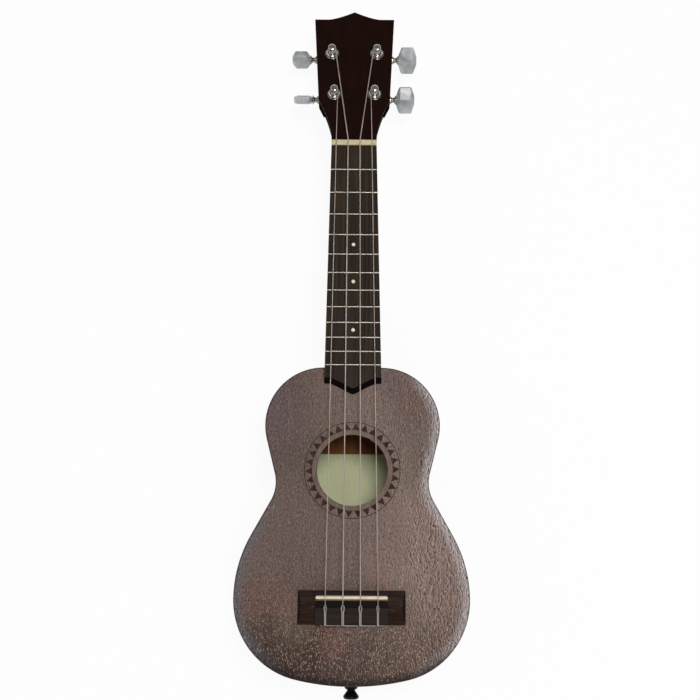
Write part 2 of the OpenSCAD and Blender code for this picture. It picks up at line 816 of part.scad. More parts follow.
post_r = post_d / 2;
gear_r = gear_teeth * worm_pitch / 360 * 180 / PI;
worm_y = gear_r + worm_pitch_r + mesh_gap;
gear_tip_r = gear_r + tooth_h;
worm_tip_r = worm_pitch_r + tooth_h;
worm_turns = 5;
worm_l = worm_turns * worm_pitch;
barrel_r = worm_tip_r + 1.35;
case_top = -headstock_t;
case_low = case_top - case_h;
case_wall = 1.5;
worm_z = case_top - worm_drop;
collar_t = 0.7;
collar_z = case_top - case_wall - 0.1;
gear_top = worm_z + gear_t / 2;
boss_w = 3.4;
boss_low = gear_top - gear_t + 0.1;
cover_r = case_r - 1.1;
barrel_in = worm_l / 2 + 4;
barrel_out = worm_l / 2 + 6.1;
journal_r = 1.4;
journal_l = 2.6;
shaft_r = 2;
stem_r = 1.5;
stem_l = 9;
screw_y = case_r + 2;
screw_d = 2;
screw_l = 8;
ear_t = 2;
sleeve_l = 5;
face_z = veneer_t;
bushing_z = face_z + washer_t;
string_zone = bushing_z + bushing_h + 0.4;

module along_x(y, z) {
    translate([0, y, z]) rotate([0, 90, 0]) children();
}

module mount_screw_hole() {
    translate([0, -screw_y, -headstock_t - eps])
        cylinder(h = screw_l - ear_t + 1, d = screw_d + 2 * seat_gap);
}

module tuner_housing(i) {
    bore = post_d + 2 * run_gap;
    color(chrome_color) at_post(i) difference() {
        union() {
            translate([0, 0, case_low]) cylinder(h = case_h, r = case_r);
            along_x(worm_y, worm_z) translate([0, 0, -barrel_in])
                cylinder(h = barrel_in + barrel_out, r = barrel_r);
            translate([-barrel_in, worm_y - barrel_r, worm_z])
                cube([barrel_in + barrel_out, 2 * barrel_r, worm_drop]);
            translate([0, -screw_y, case_top - ear_t]) cylinder(h = ear_t, r = 2.8);
            translate([-2.8, -screw_y, case_top - ear_t]) cube([5.6, screw_y, ear_t]);
            translate([0, 0, case_top]) cylinder(h = sleeve_l, d = post_hole_d - 2 * seat_gap);
        }
        translate([0, 0, case_low]) cylinder(h = case_h + sleeve_l + 1, d = bore);
        translate([0, 0, case_low - eps]) cylinder(h = case_h - case_wall, r = gear_tip_r + 0.4);
        translate([0, 0, case_low - eps]) cylinder(h = cover_t + eps, r = cover_r + seat_gap);
        along_x(worm_y, worm_z) {
            translate([0, 0, -worm_l / 2 - 0.3]) cylinder(h = worm_l + 0.6, r = worm_tip_r + 0.35);
            translate([0, 0, -worm_l / 2 - journal_l - 0.3])
                cylinder(h = worm_l, r = journal_r + run_gap);
            cylinder(h = barrel_out + 1, r = shaft_r + run_gap);
        }
        translate([0, -screw_y, case_top - ear_t - eps])
            cylinder(h = ear_t + 2 * eps, d = screw_d + 2 * seat_gap);
    }
}

module tuner_covers() {
    color(chrome_color) for (i = [0:3])
        at_post(i) translate([0, 0, case_low]) cylinder(h = cover_t, r = cover_r);
}

module tuner_bushings() {
    bore = post_d + 2 * run_gap;
    shank = headstock_t + bushing_z - sleeve_l - 0.5;
    color(chrome_color) for (i = [0:3])
        at_post(i) translate([0, 0, bushing_z]) rotate_extrude() polygon([
            [bore / 2, -shank], [post_hole_d / 2 - seat_gap, -shank],
            [post_hole_d / 2 - seat_gap, 0], [bushing_d / 2, 0],
            [bushing_d / 2, bushing_h - 1], [bushing_d / 2 - 0.9, bushing_h], [bore / 2, bushing_h]
        ]);
}

module tuner_washers() {
    color(chrome_color) for (i = [0:3])
        at_post(i) translate([0, 0, face_z]) difference() {
            cylinder(h = washer_t, d = washer_d);
            translate([0, 0, -eps]) cylinder(h = washer_t + 2 * eps, d = post_hole_d);
        }
}

module tuner_screws() {
    color(chrome_color) for (i = [0:3])
        at_post(i) translate([0, -screw_y, case_top - ear_t]) difference() {
            rotate_extrude() polygon([
                [0, -1.2], [1.2, -1.2], [2, -0.5], [2, 0], [screw_d / 2, 0],
                [screw_d / 2, screw_l - 2], [0, screw_l]
            ]);
            for (a = [0, 90]) rotate(a) translate([-1.3, -0.25, -1.3]) cube([2.6, 0.5, 0.6]);
        }
}

// The thread is an off-centre disc that circles the shaft, off the gear at the worm's middle
thread_steps = 8;
function thread_ring(k) = let (turn = k / thread_steps, a = 90 - 360 * (turn - worm_turns / 2))
    [for (j = [0:11]) [
        tooth_h * cos(a) + worm_pitch_r * cos(30 * j),
        tooth_h * sin(a) + worm_pitch_r * sin(30 * j),
        worm_pitch * turn - worm_l / 2
    ]];

module worm(i) {
    end_x = button_x + stem_l;
    flare_r = shaft_r + 1.6;
    color([0.75, 0.72, 0.65]) at_post(i) along_x(worm_y, worm_z) {
        skin([for (k = [0:thread_steps * worm_turns]) thread_ring(k)]);
        translate([0, 0, -worm_l / 2 - journal_l]) cylinder(h = journal_l + eps, r = journal_r);
        rotate_extrude() polygon([
            [0, worm_l / 2 - eps], [shaft_r - 0.5, worm_l / 2 - eps], [shaft_r, worm_l / 2 + 0.4],
            [shaft_r, barrel_out + 0.3], [flare_r - 0.4, barrel_out + 0.3],
            [flare_r - 0.4, button_x - 4.2], [shaft_r + 0.5, button_x - 3.5], [shaft_r, button_x - 2.8],
            [shaft_r, button_x - 2.3], [shaft_r + 0.5, button_x - 1.4], [flare_r, button_x - 0.5],
            [flare_r, button_x],
            [stem_r, button_x], [stem_r, end_x], [0, end_x]
        ]);
    }
}

// Angle of each button's plate from the headstock's plane
button_turn = [122, 96, 40, 30];

module button(i) {
    r = 1.7;
    l = button_l / 2 - r;
    w = button_w / 2 - r;
    t = button_t / 2 - r;
    cut_l = l * 0.64;
    cut_w = w * 0.34;
    color([0.65, 0.66, 0.66]) at_post(i) translate([button_x, worm_y, worm_z])
        rotate([button_turn[i], 0, 0]) difference() {
            translate([button_l / 2, 0, 0]) hull() {
                for (x = [-1, 1]) for (z = [-1, 1]) {
                    translate([x * cut_l, 0, z * t]) sphere(r, $fn = 14);
                    for (y = [-1, 1]) {
                        translate([x * cut_l, y * w, z * t * 0.7]) sphere(r, $fn = 14);
                        translate([x * l, y * cut_w, z * t * 0.7]) sphere(r, $fn = 14);
                    }
                }
            }
            translate([-eps, 0, 0]) rotate([0, 90, 0])
                cylinder(h = stem_l + 0.3, r = stem_r + seat_gap);
        }
}

// Gear teeth follow a wave, with a tooth pointing at the worm
module gear(i) {
    points = [for (k = [0:gear_teeth * 8 - 1]) let (a = 360 * k / (gear_teeth * 8))
        (gear_r + tooth_h * cos(gear_teeth * (a - 90))) * [cos(a), sin(a)]];
    color([0.72, 0.6, 0.35]) at_post(i) translate([0, 0, gear_top - gear_t])
        linear_extrude(gear_t) difference() {
            polygon(points);
            square(boss_w + 2 * seat_gap, center = true);
        }
}

gear_screw_d = 1.8;
gear_screw_l = 5;
gear_screw_head = 1;

module gear_screw(i) {
    color(chrome_color) at_post(i) translate([0, 0, gear_top - gear_t - seat_gap]) {
        translate([0, 0, -gear_screw_head]) difference() {
            cylinder(h = gear_screw_head, d = 5.2);
            translate([-3, -0.35, -eps]) cube([6, 0.7, 0.5]);
        }
        translate([0, 0, -eps]) cylinder(h = gear_screw_l, d = gear_screw_d);
    }
}

// String windings: each climbs the post's waist and turns in to the hole across the post
function coil_r(i) = post_waist_d / 2 + string_d[i] / 2 + seat_gap;
function coil_pitch(i) = string_d[i] + turn_gap;
function coil_low(i) = string_zone + string_d[i] / 2 + 0.35;

// The string leaves the nut at this place in the post's own frame
function in_head(p) = let (y = p.y - y_head, z = p.z - z_top, c = cos(headstock_tilt), s = sin(headstock_tilt))
    [p.x, y * c - z * s, y * s + z * c];
function from_head(q) = let (c = cos(headstock_tilt), s = sin(headstock_tilt))
    [q.x, y_head + q.y * c + q.z * s, z_top - q.y * s + q.z * c];
function to_post(i, q) = [side_of[i] * q.x - post_x[i], q.y - post_v[i], q.z];
function off_post(i, q) = [side_of[i] * (q.x + post_x[i]), q.y + post_v[i], q.z];
function nut_exit(i) = [nut_x(i), y_head + 0.3, z_nut_string + string_d[i] / 2 + 0.02];

// Angle on the post where the string meets it, on the inner side
function meet_a(i) = let (q = to_post(i, in_head(nut_exit(i))))
    atan2(q.y, q.x) - acos(coil_r(i) / norm([q.x, q.y]));
function coil_point(i, turn) = let (a = meet_a(i) - 360 * turn)
    [coil_r(i) * cos(a), coil_r(i) * sin(a), coil_low(i) + coil_pitch(i) * turn];

// Straight start, one diameter long, that lines up with the free string
function coil_start(i) = let (q = to_post(i, in_head(nut_exit(i))), t = coil_point(i, 0))
    t + string_d[i] * unit(q - t);
function hole_a(i) = meet_a(i) - 360 * winding_turns - 24;
function hole_z(i) = coil_low(i) + coil_pitch(i) * (winding_turns + 0.06);

function winding_path(i) = let (a = hole_a(i), z = hole_z(i), r = coil_r(i))
    concat(
        [coil_start(i)],
        [for (k = [0:24 * winding_turns]) coil_point(i, k / 24)],
        eased([
            coil_point(i, winding_turns + 0.02), [r * cos(a) * 1.02, r * sin(a) * 1.02, z],
            [0.3 * cos(a), 0.3 * sin(a), z]
        ], 1.1, 4)
    );

// Least gap between points that are at least half a turn apart
function least_gap(p, d) = min([for (i = [0:len(p) - 13]) for (j = [i + 12:len(p) - 1])
    norm(p[i] - p[j])]) - d;

module winding(i) {
    color(string_color) at_post(i) tube(winding_path(i), string_d[i], 6, [0, 0, 1]);
}

names = ["g", "c", "e", "a"];
for (i = [0:3]) echo(str("winding_", names[i], " least gap to itself, mm: "),
    least_gap([for (k = [0:24 * winding_turns]) coil_point(i, k / 24)], string_d[i]));

module post(i) {
    zone_top = face_z + post_h - 1.9;
    cap = [for (a = [0:15:90]) [post_r * cos(a), face_z + post_h - 0.9 + 0.9 * sin(a)]];
    color(chrome_color) at_post(i) difference() {
        union() {
            rotate_extrude() polygon([
                [0, gear_top], [post_r + 0.8, gear_top], [post_r + 0.8, collar_z], [post_r, collar_z],
                [post_r, string_zone - 0.3], [post_waist_d / 2, string_zone],
                [post_waist_d / 2, zone_top], [post_r, zone_top + 0.6], each cap
            ]);
            translate([-boss_w / 2, -boss_w / 2, boss_low])
                cube([boss_w, boss_w, gear_top - boss_low + eps]);
        }
        translate([0, 0, boss_low - eps])
            cylinder(h = gear_screw_l + 0.4, d = gear_screw_d + 2 * seat_gap);
        translate([0, 0, hole_z(i)]) rotate([0, 90, hole_a(i)]) translate([0, 0, -post_d])
            cylinder(h = 2 * post_d, d = string_d[i] + 0.5);
    }
}

// Strings: the tail lies along the bridge and over the tie block, loops under the string in the
// channel, and comes back to run through the block, over the saddle and the nut, to its winding
function tie_points(i) = let (
    d = string_d[i],
    r = d / 2,
    x = saddle_x(i),
    ring = d + 2 * seat_gap,
    leg = ring / 2,
    off = r + seat_gap + 0.02,
    top = z_top + tie_block_h + off,
    rear = -bridge_rear - off,
    hole = z_top + tie_hole_h,
    front = -channel_rear,
    step = (channel_rear - channel_front) / 6,
    low = z_top + channel_h + off,
    crest_r = (saddle_t / 2 + off) / cos(8),
    crest_z = z_saddle - saddle_t / 2
) [
    [x + leg + (i == 3 ? last_tail : string_tail), rear, hole + d],
    [x + leg, rear, hole + d],
    [x + leg, rear, top],
    [x + leg, front - 3 * step, top],
    [x + ring, front - 1.4 * step, top],
    [x + ring, front + step, top],
    [x + ring * 0.7, front + 2.1 * step, low + 0.6 * step],
    [x, front + 2.5 * step, low],
    [x - ring * 0.7, front + 2.1 * step, low + 0.6 * step],
    [x - ring, front + step, top],
    [x - ring, front - 1.4 * step, top],
    [x - leg, front - 3 * step, top],
    [x - leg, rear, top],
    [x - leg, rear, hole + 2 * d],
    [x, rear - 0.2 * step, hole],
    [x, front + 0.55 * step, hole],
    each [for (a = [135:-15:90]) [x, crest_r * cos(a), crest_z + crest_r * sin(a)]],
    [nut_x(i), y_nut - 0.3, z_nut_string + r + 0.02],
    nut_exit(i),
    from_head(off_post(i, coil_start(i)))
];

module string(i) {
    color(string_color) tube(eased(tie_points(i), 1.2, 4), string_d[i], 8, [1, 0, 0.2]);
}

soundboard();
back();
side(-1);  // side_left
side(1);  // side_right
linings(z_inner_top - lining_h);  // top_linings
linings(back_t);  // back_linings
neck_block();
tail_block();
braces(z_inner_top - top_brace_h, top_brace_h, top_brace_offset);  // top_braces
braces(back_t, back_brace_h, back_brace_offset);  // back_braces
bridge_plate();
label();
neck();
neck_dowels();
headstock();
headstock_veneer();
fretboard();
frets();
position_dots();
nut();
bridge();
saddle();
strap_button();
strap_screw();
tuner_covers();
tuner_bushings();
tuner_washers();
tuner_screws();
for (i = [0:3]) {
    tuner_housing(i);
    worm(i);
    button(i);
    post(i);
    gear(i);
    gear_screw(i);
    string(i);
    winding(i);
}
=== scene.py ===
# Looks of a soprano ukulele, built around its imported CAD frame.
# Lengths are written in millimetres, as in the CAD part, and scaled to metres when a mesh is made.
# X runs across the body, Y from the tail to the headstock, Z up from the back to the strings.
import json
import math

import bmesh
import bpy
from mathutils import Matrix, Vector


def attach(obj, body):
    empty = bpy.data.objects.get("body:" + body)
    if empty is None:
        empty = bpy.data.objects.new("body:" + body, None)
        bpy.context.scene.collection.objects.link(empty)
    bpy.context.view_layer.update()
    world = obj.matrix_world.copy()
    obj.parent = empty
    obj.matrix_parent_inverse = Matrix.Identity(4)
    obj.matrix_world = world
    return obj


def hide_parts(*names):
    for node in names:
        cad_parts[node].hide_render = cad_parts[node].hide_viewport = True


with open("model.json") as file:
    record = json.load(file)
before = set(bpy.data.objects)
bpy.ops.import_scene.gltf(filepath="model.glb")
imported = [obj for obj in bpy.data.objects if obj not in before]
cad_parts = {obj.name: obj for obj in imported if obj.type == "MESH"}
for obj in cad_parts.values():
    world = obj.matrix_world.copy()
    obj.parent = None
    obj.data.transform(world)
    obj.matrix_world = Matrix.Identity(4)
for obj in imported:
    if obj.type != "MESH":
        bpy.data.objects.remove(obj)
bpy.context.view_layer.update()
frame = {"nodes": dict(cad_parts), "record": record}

NODES = frame["nodes"]
BODY_OF = {n: b for b, members in frame["record"]["behaviour"]["bodies"].items() for n in members}
SCENE = bpy.context.scene
MM = 0.001
NAMES = "gcea"


# Camera, at the photograph's angle
FOCAL_PX = 1277.93
FRAME_PX = 700
CAMERA_AT = Vector((-2.28, 56.15, 1035.17)) * MM
CAMERA_TILT = math.radians(7.642)
CAMERA_ROLL = math.radians(0.33)
CLIP_START = 0.01


def add_camera():
    data = bpy.data.cameras.new("camera")
    data.sensor_fit = "HORIZONTAL"
    data.lens = data.sensor_width * FOCAL_PX / FRAME_PX
    data.clip_start = CLIP_START
    camera = bpy.data.objects.new("camera", data)
    SCENE.collection.objects.link(camera)
    turn = Matrix.Rotation(CAMERA_TILT, 4, "X") @ Matrix.Rotation(CAMERA_ROLL, 4, "Z")
    camera.matrix_world = Matrix.Translation(CAMERA_AT) @ turn
    SCENE.camera = camera


add_camera()


# Node materials

def srgb(r, g, b):
    """Linear colour of 8-bit screen values."""
    def linear(c):
        c /= 255
        return c / 12.92 if c <= 0.04045 else ((c + 0.055) / 1.055) ** 2.4
    return (linear(r), linear(g), linear(b), 1)


class Paint:
    """A material's node tree, with short calls that return output sockets."""

    def __init__(self, name, **values):
        self.material = bpy.data.materials.new(name)
        self.material.use_nodes = True
        self.tree = self.material.node_tree
        self.shader = self.tree.nodes["Principled BSDF"]
        for key, value in values.items():
            self.set(key.replace("_", " "), value)

    def set(self, socket, value):
        names = {s.name.lower(): s for s in self.shader.inputs}
        self.put(names[socket.lower()], value)

    def put(self, socket, value):
        if isinstance(value, bpy.types.NodeSocket):
            self.tree.links.new(value, socket)
        elif value is not None:
            socket.default_value = value

    def add(self, kind, **props):
        node = self.tree.nodes.new("ShaderNode" + kind)
        for key, value in props.items():
            setattr(node, key, value)
        return node

    def place(self):
        return self.add("TexCoord").outputs["Object"]

    def uv(self):
        return self.add("TexCoord").outputs["UV"]

    def vec(self, op, a, b):
        node = self.add("VectorMath", operation=op)
        self.put(node.inputs[0], a)
        self.put(node.inputs[1], b)
        return node.outputs[0]

    def scaled(self, v, x, y, z):
        return self.vec("MULTIPLY", v, (x, y, z))

    def part(self, v, axis):
        node = self.add("SeparateXYZ")
        self.put(node.inputs[0], v)
        return node.outputs[axis]

    def join(self, x, y, z):
        node = self.add("CombineXYZ")
        for socket, value in zip(node.inputs, (x, y, z)):
            self.put(socket, value)
        return node.outputs[0]

    def calc(self, op, a, b=None):
        node = self.add("Math", operation=op)
        self.put(node.inputs[0], a)
        self.put(node.inputs[1], b)
        return node.outputs[0]

    def noise(self, v, scale, detail=2.0, rough=0.5, bend=0.0):
        """Noise with so many waves per metre along each axis."""
        node = self.add("TexNoise")
        for key, value in (("Vector", self.scaled(v, *scale)), ("Scale", 1.0), ("Detail", detail),
                           ("Roughness", rough), ("Distortion", bend)):
            self.put(node.inputs[key], value)
        return node.outputs["Fac"]

    def crease(self, v, scale, width):
        """Thin winding lines, where a noise crosses its middle value."""
        level = self.calc("SUBTRACT", self.noise(v, scale, detail=1, rough=0.4), 0.5)
        return self.step(self.calc("ABSOLUTE", level), width, 0.0)

    def flecks(self, v, scale):
        """Scattered grains of various sizes."""
        node = self.add("TexVoronoi", voronoi_dimensions="2D")
        self.put(node.inputs["Vector"], self.scaled(v, *scale))
        node.inputs["Scale"].default_value = 1.0
        chance = self.part(node.outputs["Color"], 0)
        size = self.step(chance, 0.3, 1.0, 0.0, 0.34)
        return self.step(self.calc("SUBTRACT", size, node.outputs["Distance"]), 0.0, 0.12)

    def spot(self, v, at, size):
        """A soft patch that fades out at the given half sizes."""
        near = self.scaled(self.vec("SUBTRACT", v, (*at, 0.0)), 1 / size[0], 1 / size[1], 0.0)
        return self.step(self.length(near), 1.0, 0.2)

    def length(self, v):
        node = self.add("VectorMath", operation="LENGTH")
        self.put(node.inputs[0], v)
        return node.outputs["Value"]

    def fold(self, op, values):
        total = values[0]
        for value in values[1:]:
            total = self.calc(op, total, value)
        return total

    def times(self, *values):
        return self.fold("MULTIPLY", values)

    def plus(self, *values):
        return self.fold("ADD", values)

    def step(self, value, low, high, to_low=0.0, to_high=1.0):
        """Smooth change from to_low to to_high as value goes from low to high."""
        node = self.add("MapRange", interpolation_type="SMOOTHSTEP")
        for socket, v in zip(node.inputs, (value, low, high, to_low, to_high)):
            self.put(socket, v)
        return node.outputs[0]

    def ramp(self, value, *stops):
        node = self.add("ValToRGB")
        ramp = node.color_ramp
        while len(ramp.elements) < len(stops):
            ramp.elements.new(1)
        for element, (at, color) in zip(ramp.elements, stops):
            element.position = at
            element.color = color
        self.put(node.inputs[0], value)
        return node.outputs[0]

    def mix(self, share, a, b):
        node = self.add("Mix", data_type="RGBA")
        self.put(node.inputs[0], share)
        self.put(node.inputs[6], a)
        self.put(node.inputs[7], b)
        return node.outputs[2]

    def bump(self, height, strength, depth):
        """Normal of a relief that is depth millimetres high."""
        node = self.add("Bump")
        node.inputs["Strength"].default_value = strength
        node.inputs["Distance"].default_value = depth * MM
        self.put(node.inputs["Height"], height)
        return node.outputs[0]

    def normal_part(self, axis):
        return self.part(self.add("TexCoord").outputs["Normal"], axis)


# Tones of the body's wood; the right tone is painted light and sheen, the tail tone painted shade, the two
# sheen tones a painted reflection, the edge tone painted shade, and the fleck tone partly a painted glint
TONES = {
    "left": srgb(97, 79, 73), "right": srgb(126, 107, 98), "tail": srgb(44, 25, 16),
    "olive": srgb(102, 89, 76), "violet": srgb(104, 84, 89), "red": srgb(120, 80, 70),
    "left_painted_sheen": srgb(86, 90, 96), "right_painted_sheen": srgb(166, 158, 160), "end": srgb(22, 12, 10),
    "edge": srgb(46, 37, 36), "fleck": srgb(208, 180, 156), "pore": srgb(40, 27, 24),
}

# Patches of tone on the top: which, how strong, centre and half sizes in metres
PATCHES = [
    ("violet", 0.55, (-0.054, 0.138), (0.026, 0.040)), ("violet", 0.5, (0.026, 0.157), (0.016, 0.014)),
    ("olive", 0.35, (-0.030, 0.138), (0.016, 0.034)), ("red", 0.34, (-0.014, -0.034), (0.018, 0.018)),
    ("red", 0.35, (0.043, 0.150), (0.010, 0.026)), ("red", 0.3, (0.022, 0.012), (0.014, 0.020)),
]

# Waves per metre in the body's wood: across the grain, along it and through it
WAVE_SCALE, CURL_SCALE = (40, 13, 40), (190, 110, 190)
DRIFT_SCALE, WARM_SCALE = (22, 13, 22), (30, 21, 30)
CREASE_SCALE, LINE_SCALE, SPECKLE_SCALE = (460, 125, 300), (640, 18, 400), (1300, 520, 900)
FLECK_SCALE, FINE_SCALE = (1050, 310, 300), (1500, 500, 500)
CREASE_W = 0.095

# Shifts in metres: to a crease's painted highlight, to a fleck's dark pore, and for the red drift and the
# fine flecks
CREST_SHIFT, PORE_SHIFT = (0.0006, 0.0002, 0.0), (0.0005, -0.0003, 0.0)
WARM_SHIFT, FINE_SHIFT = (0.31, 0.17, 0.0), (0.013, 0.021, 0.0)

# Shares of the top's zones that the back and the sides take
PLAIN_ZONES = {"right": 0.4, "tail": 0.15}


def top_zones(p, v, wave):
    """Shares of the top's zones, from 0 to 1, with wavy borders given in metres."""
    across = p.plus(p.part(v, 0), p.times(wave, 0.05))
    along = p.plus(p.part(v, 1), p.times(wave, 0.03))
    rim = p.part(p.uv(), 0)
    beside_neck = p.step(p.calc("ABSOLUTE", across), 0.012, 0.04)
    low_left = p.times(p.step(across, -0.045, -0.065), p.step(along, 0.085, 0.04))
    right_edge = p.step(across, 0.035, 0.06)
    return {
        "right": p.step(across, -0.035, 0.07),
        "tail": p.step(along, 0.03, -0.05),
        "upper": p.times(p.step(along, 0.06, 0.115), beside_neck),
        # Masks of the painted sheen near the side edges, and below them of the painted shade along the outer
        # edge
        "left_painted_sheen": p.times(low_left, p.step(rim, 1.0, 0.05)),
        "right_edge": right_edge,
        "right_painted_sheen": p.times(right_edge, p.step(rim, 0.85, 0.05)),
        "end": p.times(p.step(rim, 0.8, 0.03), p.step(along, -0.03, -0.055)),
        "edge": p.step(rim, 0.11, 0.03, 0, 0.8),
    }


def broad_tone(p, v, zones):
    """Drifts of tone over the whole wood; on the top the lighter right side is painted light and sheen, and
    the darker tail is painted shade.
    """
    right, tail = zones["right"], zones["tail"]
    # Painted light and sheen make the top lighter to the right, and painted shade makes it darker at the tail
    tone = p.mix(right, TONES["left"], TONES["right"])
    tone = p.mix(p.times(tail, p.plus(0.85, p.times(right, -0.3))), tone, TONES["tail"])
    drift = p.noise(v, DRIFT_SCALE, detail=3, rough=0.55)
    tone = p.mix(p.step(drift, 0.52, 0.68, 0, 0.4), tone, TONES["olive"])
    tone = p.mix(p.step(drift, 0.47, 0.33, 0, 0.15), tone, TONES["violet"])
    warm = p.noise(p.vec("ADD", v, WARM_SHIFT), WARM_SCALE)
    return p.mix(p.step(warm, 0.56, 0.74, 0, 0.2), tone, TONES["red"])


def top_tone(p, tone, bent, zones):
    """The top's own patches, its darker upper bout and tail rim, a painted sheen near its left and right
    edges, and painted shade along its rounded outer edge.
    """
    for key, share, at, size in PATCHES:
        tone = p.mix(p.times(p.spot(bent, at, size), share), tone, TONES[key])
    shade = p.plus(1.0, p.times(zones["upper"], p.plus(-0.24, p.times(zones["right"], -0.16))))
    tone = p.vec("MULTIPLY", tone, p.join(shade, shade, shade))
    # Painted reflection as a sheen near the left and right edges; the end tone is a darker rim at the tail
    for key, share in (("left_painted_sheen", 0.6), ("right_painted_sheen", 0.75), ("end", 0.9)):
        tone = p.mix(p.times(zones[key], share), tone, TONES[key])
    # Painted shade along the outer edge, where its rounding turns away from the light
    return p.mix(zones["edge"], tone, TONES["edge"])


def body_wood(name, kind):
    """Open-pored satin wood: soft blotches of tone, fine creases with a painted highlight and painted shadow,
    and pale flecks, partly painted glints, beside dark pores.

    On the top the painted creases are strong to the right, the flecks are strong at the tail, and the edges
    have a painted sheen.
    """
    p = Paint(name, specular_ior_level=0.16)
    if kind == "side":
        flat = p.uv()
        v = p.join(p.part(flat, 1), p.part(flat, 0), 0.0)
    else:
        v = p.place()
    wave = p.calc("SUBTRACT", p.noise(v, WAVE_SCALE), 0.5)
    curl = p.calc("SUBTRACT", p.noise(v, CURL_SCALE, detail=1), 0.5)
    bent = p.vec("ADD", v, p.join(p.plus(p.times(wave, 0.010), p.times(curl, 0.0040)), 0.0, 0.0))
    zones = top_zones(p, v, wave) if kind == "top" else PLAIN_ZONES
    right, tail = zones["right"], zones["tail"]
    tone = broad_tone(p, v, zones)
    # Strength of the painted creases, greatest to the right, as if lit from there
    creased = p.plus(0.34, p.times(right, 0.52), p.times(tail, 0.12))
    flecked = p.plus(0.22, p.times(tail, 0.46), p.times(right, 0.12))
    speckled, grained = 0.6, 1.1
    if kind == "top":
        tone = top_tone(p, tone, bent, zones)
        creased = p.plus(creased, p.times(zones["right_edge"], 0.6))
        flecked = p.times(flecked, p.calc("SUBTRACT", 1.0, p.times(zones["end"], 0.8)))
        speckled, grained = 1.25, 0.5
    # Creases, painted as relief lit from the side: each has a painted shadow on one side and a painted
    # highlight on the other
    fold = p.crease(bent, CREASE_SCALE, CREASE_W)
    crest = p.crease(p.vec("ADD", bent, CREST_SHIFT), CREASE_SCALE, CREASE_W)
    speckle = p.noise(bent, SPECKLE_SCALE, detail=0)
    line = p.noise(bent, LINE_SCALE)
    gain = p.plus(1.0, p.plus(p.times(crest, creased, 0.64), p.times(fold, creased, -0.5),
                              p.times(p.calc("SUBTRACT", speckle, 0.5), speckled),
                              p.times(p.calc("SUBTRACT", line, 0.5), grained)))
    tone = p.vec("MULTIPLY", tone, p.join(gain, gain, gain))
    # Pale flecks, partly painted glints, each with a dark pore beside it that is partly painted shade
    pale = p.flecks(bent, FLECK_SCALE)
    fine = p.flecks(p.vec("ADD", bent, FINE_SHIFT), FINE_SCALE)
    pore = p.flecks(p.vec("ADD", bent, PORE_SHIFT), FLECK_SCALE)
    tone = p.mix(p.times(pore, flecked, 0.5), tone, TONES["pore"])
    tone = p.mix(p.times(p.calc("MAXIMUM", pale, fine), flecked, 0.75), tone, TONES["fleck"])
    p.set("base color", tone)
    p.set("roughness", p.step(line, 0.2, 0.8, 0.56, 0.46))
    height = p.plus(p.times(p.calc("SUBTRACT", crest, fold), creased, 0.5), p.times(pale, flecked, 0.4),
                    p.times(speckle, 0.3))
    p.set("normal", p.bump(height, 0.4, 0.25))
    return p.material


def plain_wood(name, tones, rough, spec, grain=(420, 14, 260), fade=None):
    """Close-grained wood: three tones, streaks along the grain and fine pores.

    If fade is given, a stain of its third value sets in between its first two, in metres along Y.
    """
    p = Paint(name, specular_ior_level=spec)
    v = p.place()
    wave = p.calc("SUBTRACT", p.noise(v, (25, 8, 25)), 0.5)
    v = p.vec("ADD", v, p.join(p.calc("MULTIPLY", wave, 0.006), 0.0, p.calc("MULTIPLY", wave, 0.004)))
    streak = p.noise(v, grain, detail=5, rough=0.65)
    tone = p.ramp(streak, (0.33, tones[0]), (0.5, tones[1]), (0.68, tones[2]))
    pore = p.step(p.noise(v, (1500, 130, 1500), detail=1), 0.6, 0.7)
    tone = p.mix(p.calc("MULTIPLY", pore, 0.5), tone, tones[0])
    if fade:
        tone = p.mix(p.step(p.part(v, 1), fade[0], fade[1], 0, 0.92), tone, fade[2])
    p.set("base color", tone)
    p.set("roughness", p.step(streak, 0.25, 0.75, rough + 0.06, rough - 0.06))
    height = p.calc("SUBTRACT", streak, p.calc("MULTIPLY", pore, 0.8))
    p.set("normal", p.bump(height, 0.35, 0.12))
    return p.material


def fretboard_wood():
    p = Paint("fretboard_wood", specular_ior_level=0.05)
    v = p.place()
    streak = p.noise(v, (620, 9, 500), detail=5, rough=0.65)
    tone = p.ramp(streak, (0.3, srgb(27, 20, 15)), (0.5, srgb(41, 33, 26)), (0.72, srgb(56, 46, 35)))
    drift = p.noise(v, (60, 14, 60))
    tone = p.mix(p.step(drift, 0.48, 0.7, 0, 0.6), tone, srgb(58, 45, 27))
    tone = p.mix(p.step(drift, 0.46, 0.3, 0, 0.5), tone, srgb(44, 35, 33))
    # The sloping end, whose faces turn towards the tail, is near black
    end = p.step(p.normal_part(1), -0.25, -0.5)
    tone = p.mix(end, tone, srgb(8, 3, 3))
    p.set("base color", tone)
    p.set("roughness", p.step(streak, 0.3, 0.7, 0.56, 0.42))
    p.set("normal", p.bump(streak, 0.3, 0.1))
    return p.material


# Places on the bridge, in metres: the block's half width and the wings' ridge
BLOCK_HALF, BLOCK_BLUR = 0.0273, 0.0002
RIDGE_Y = -0.0078


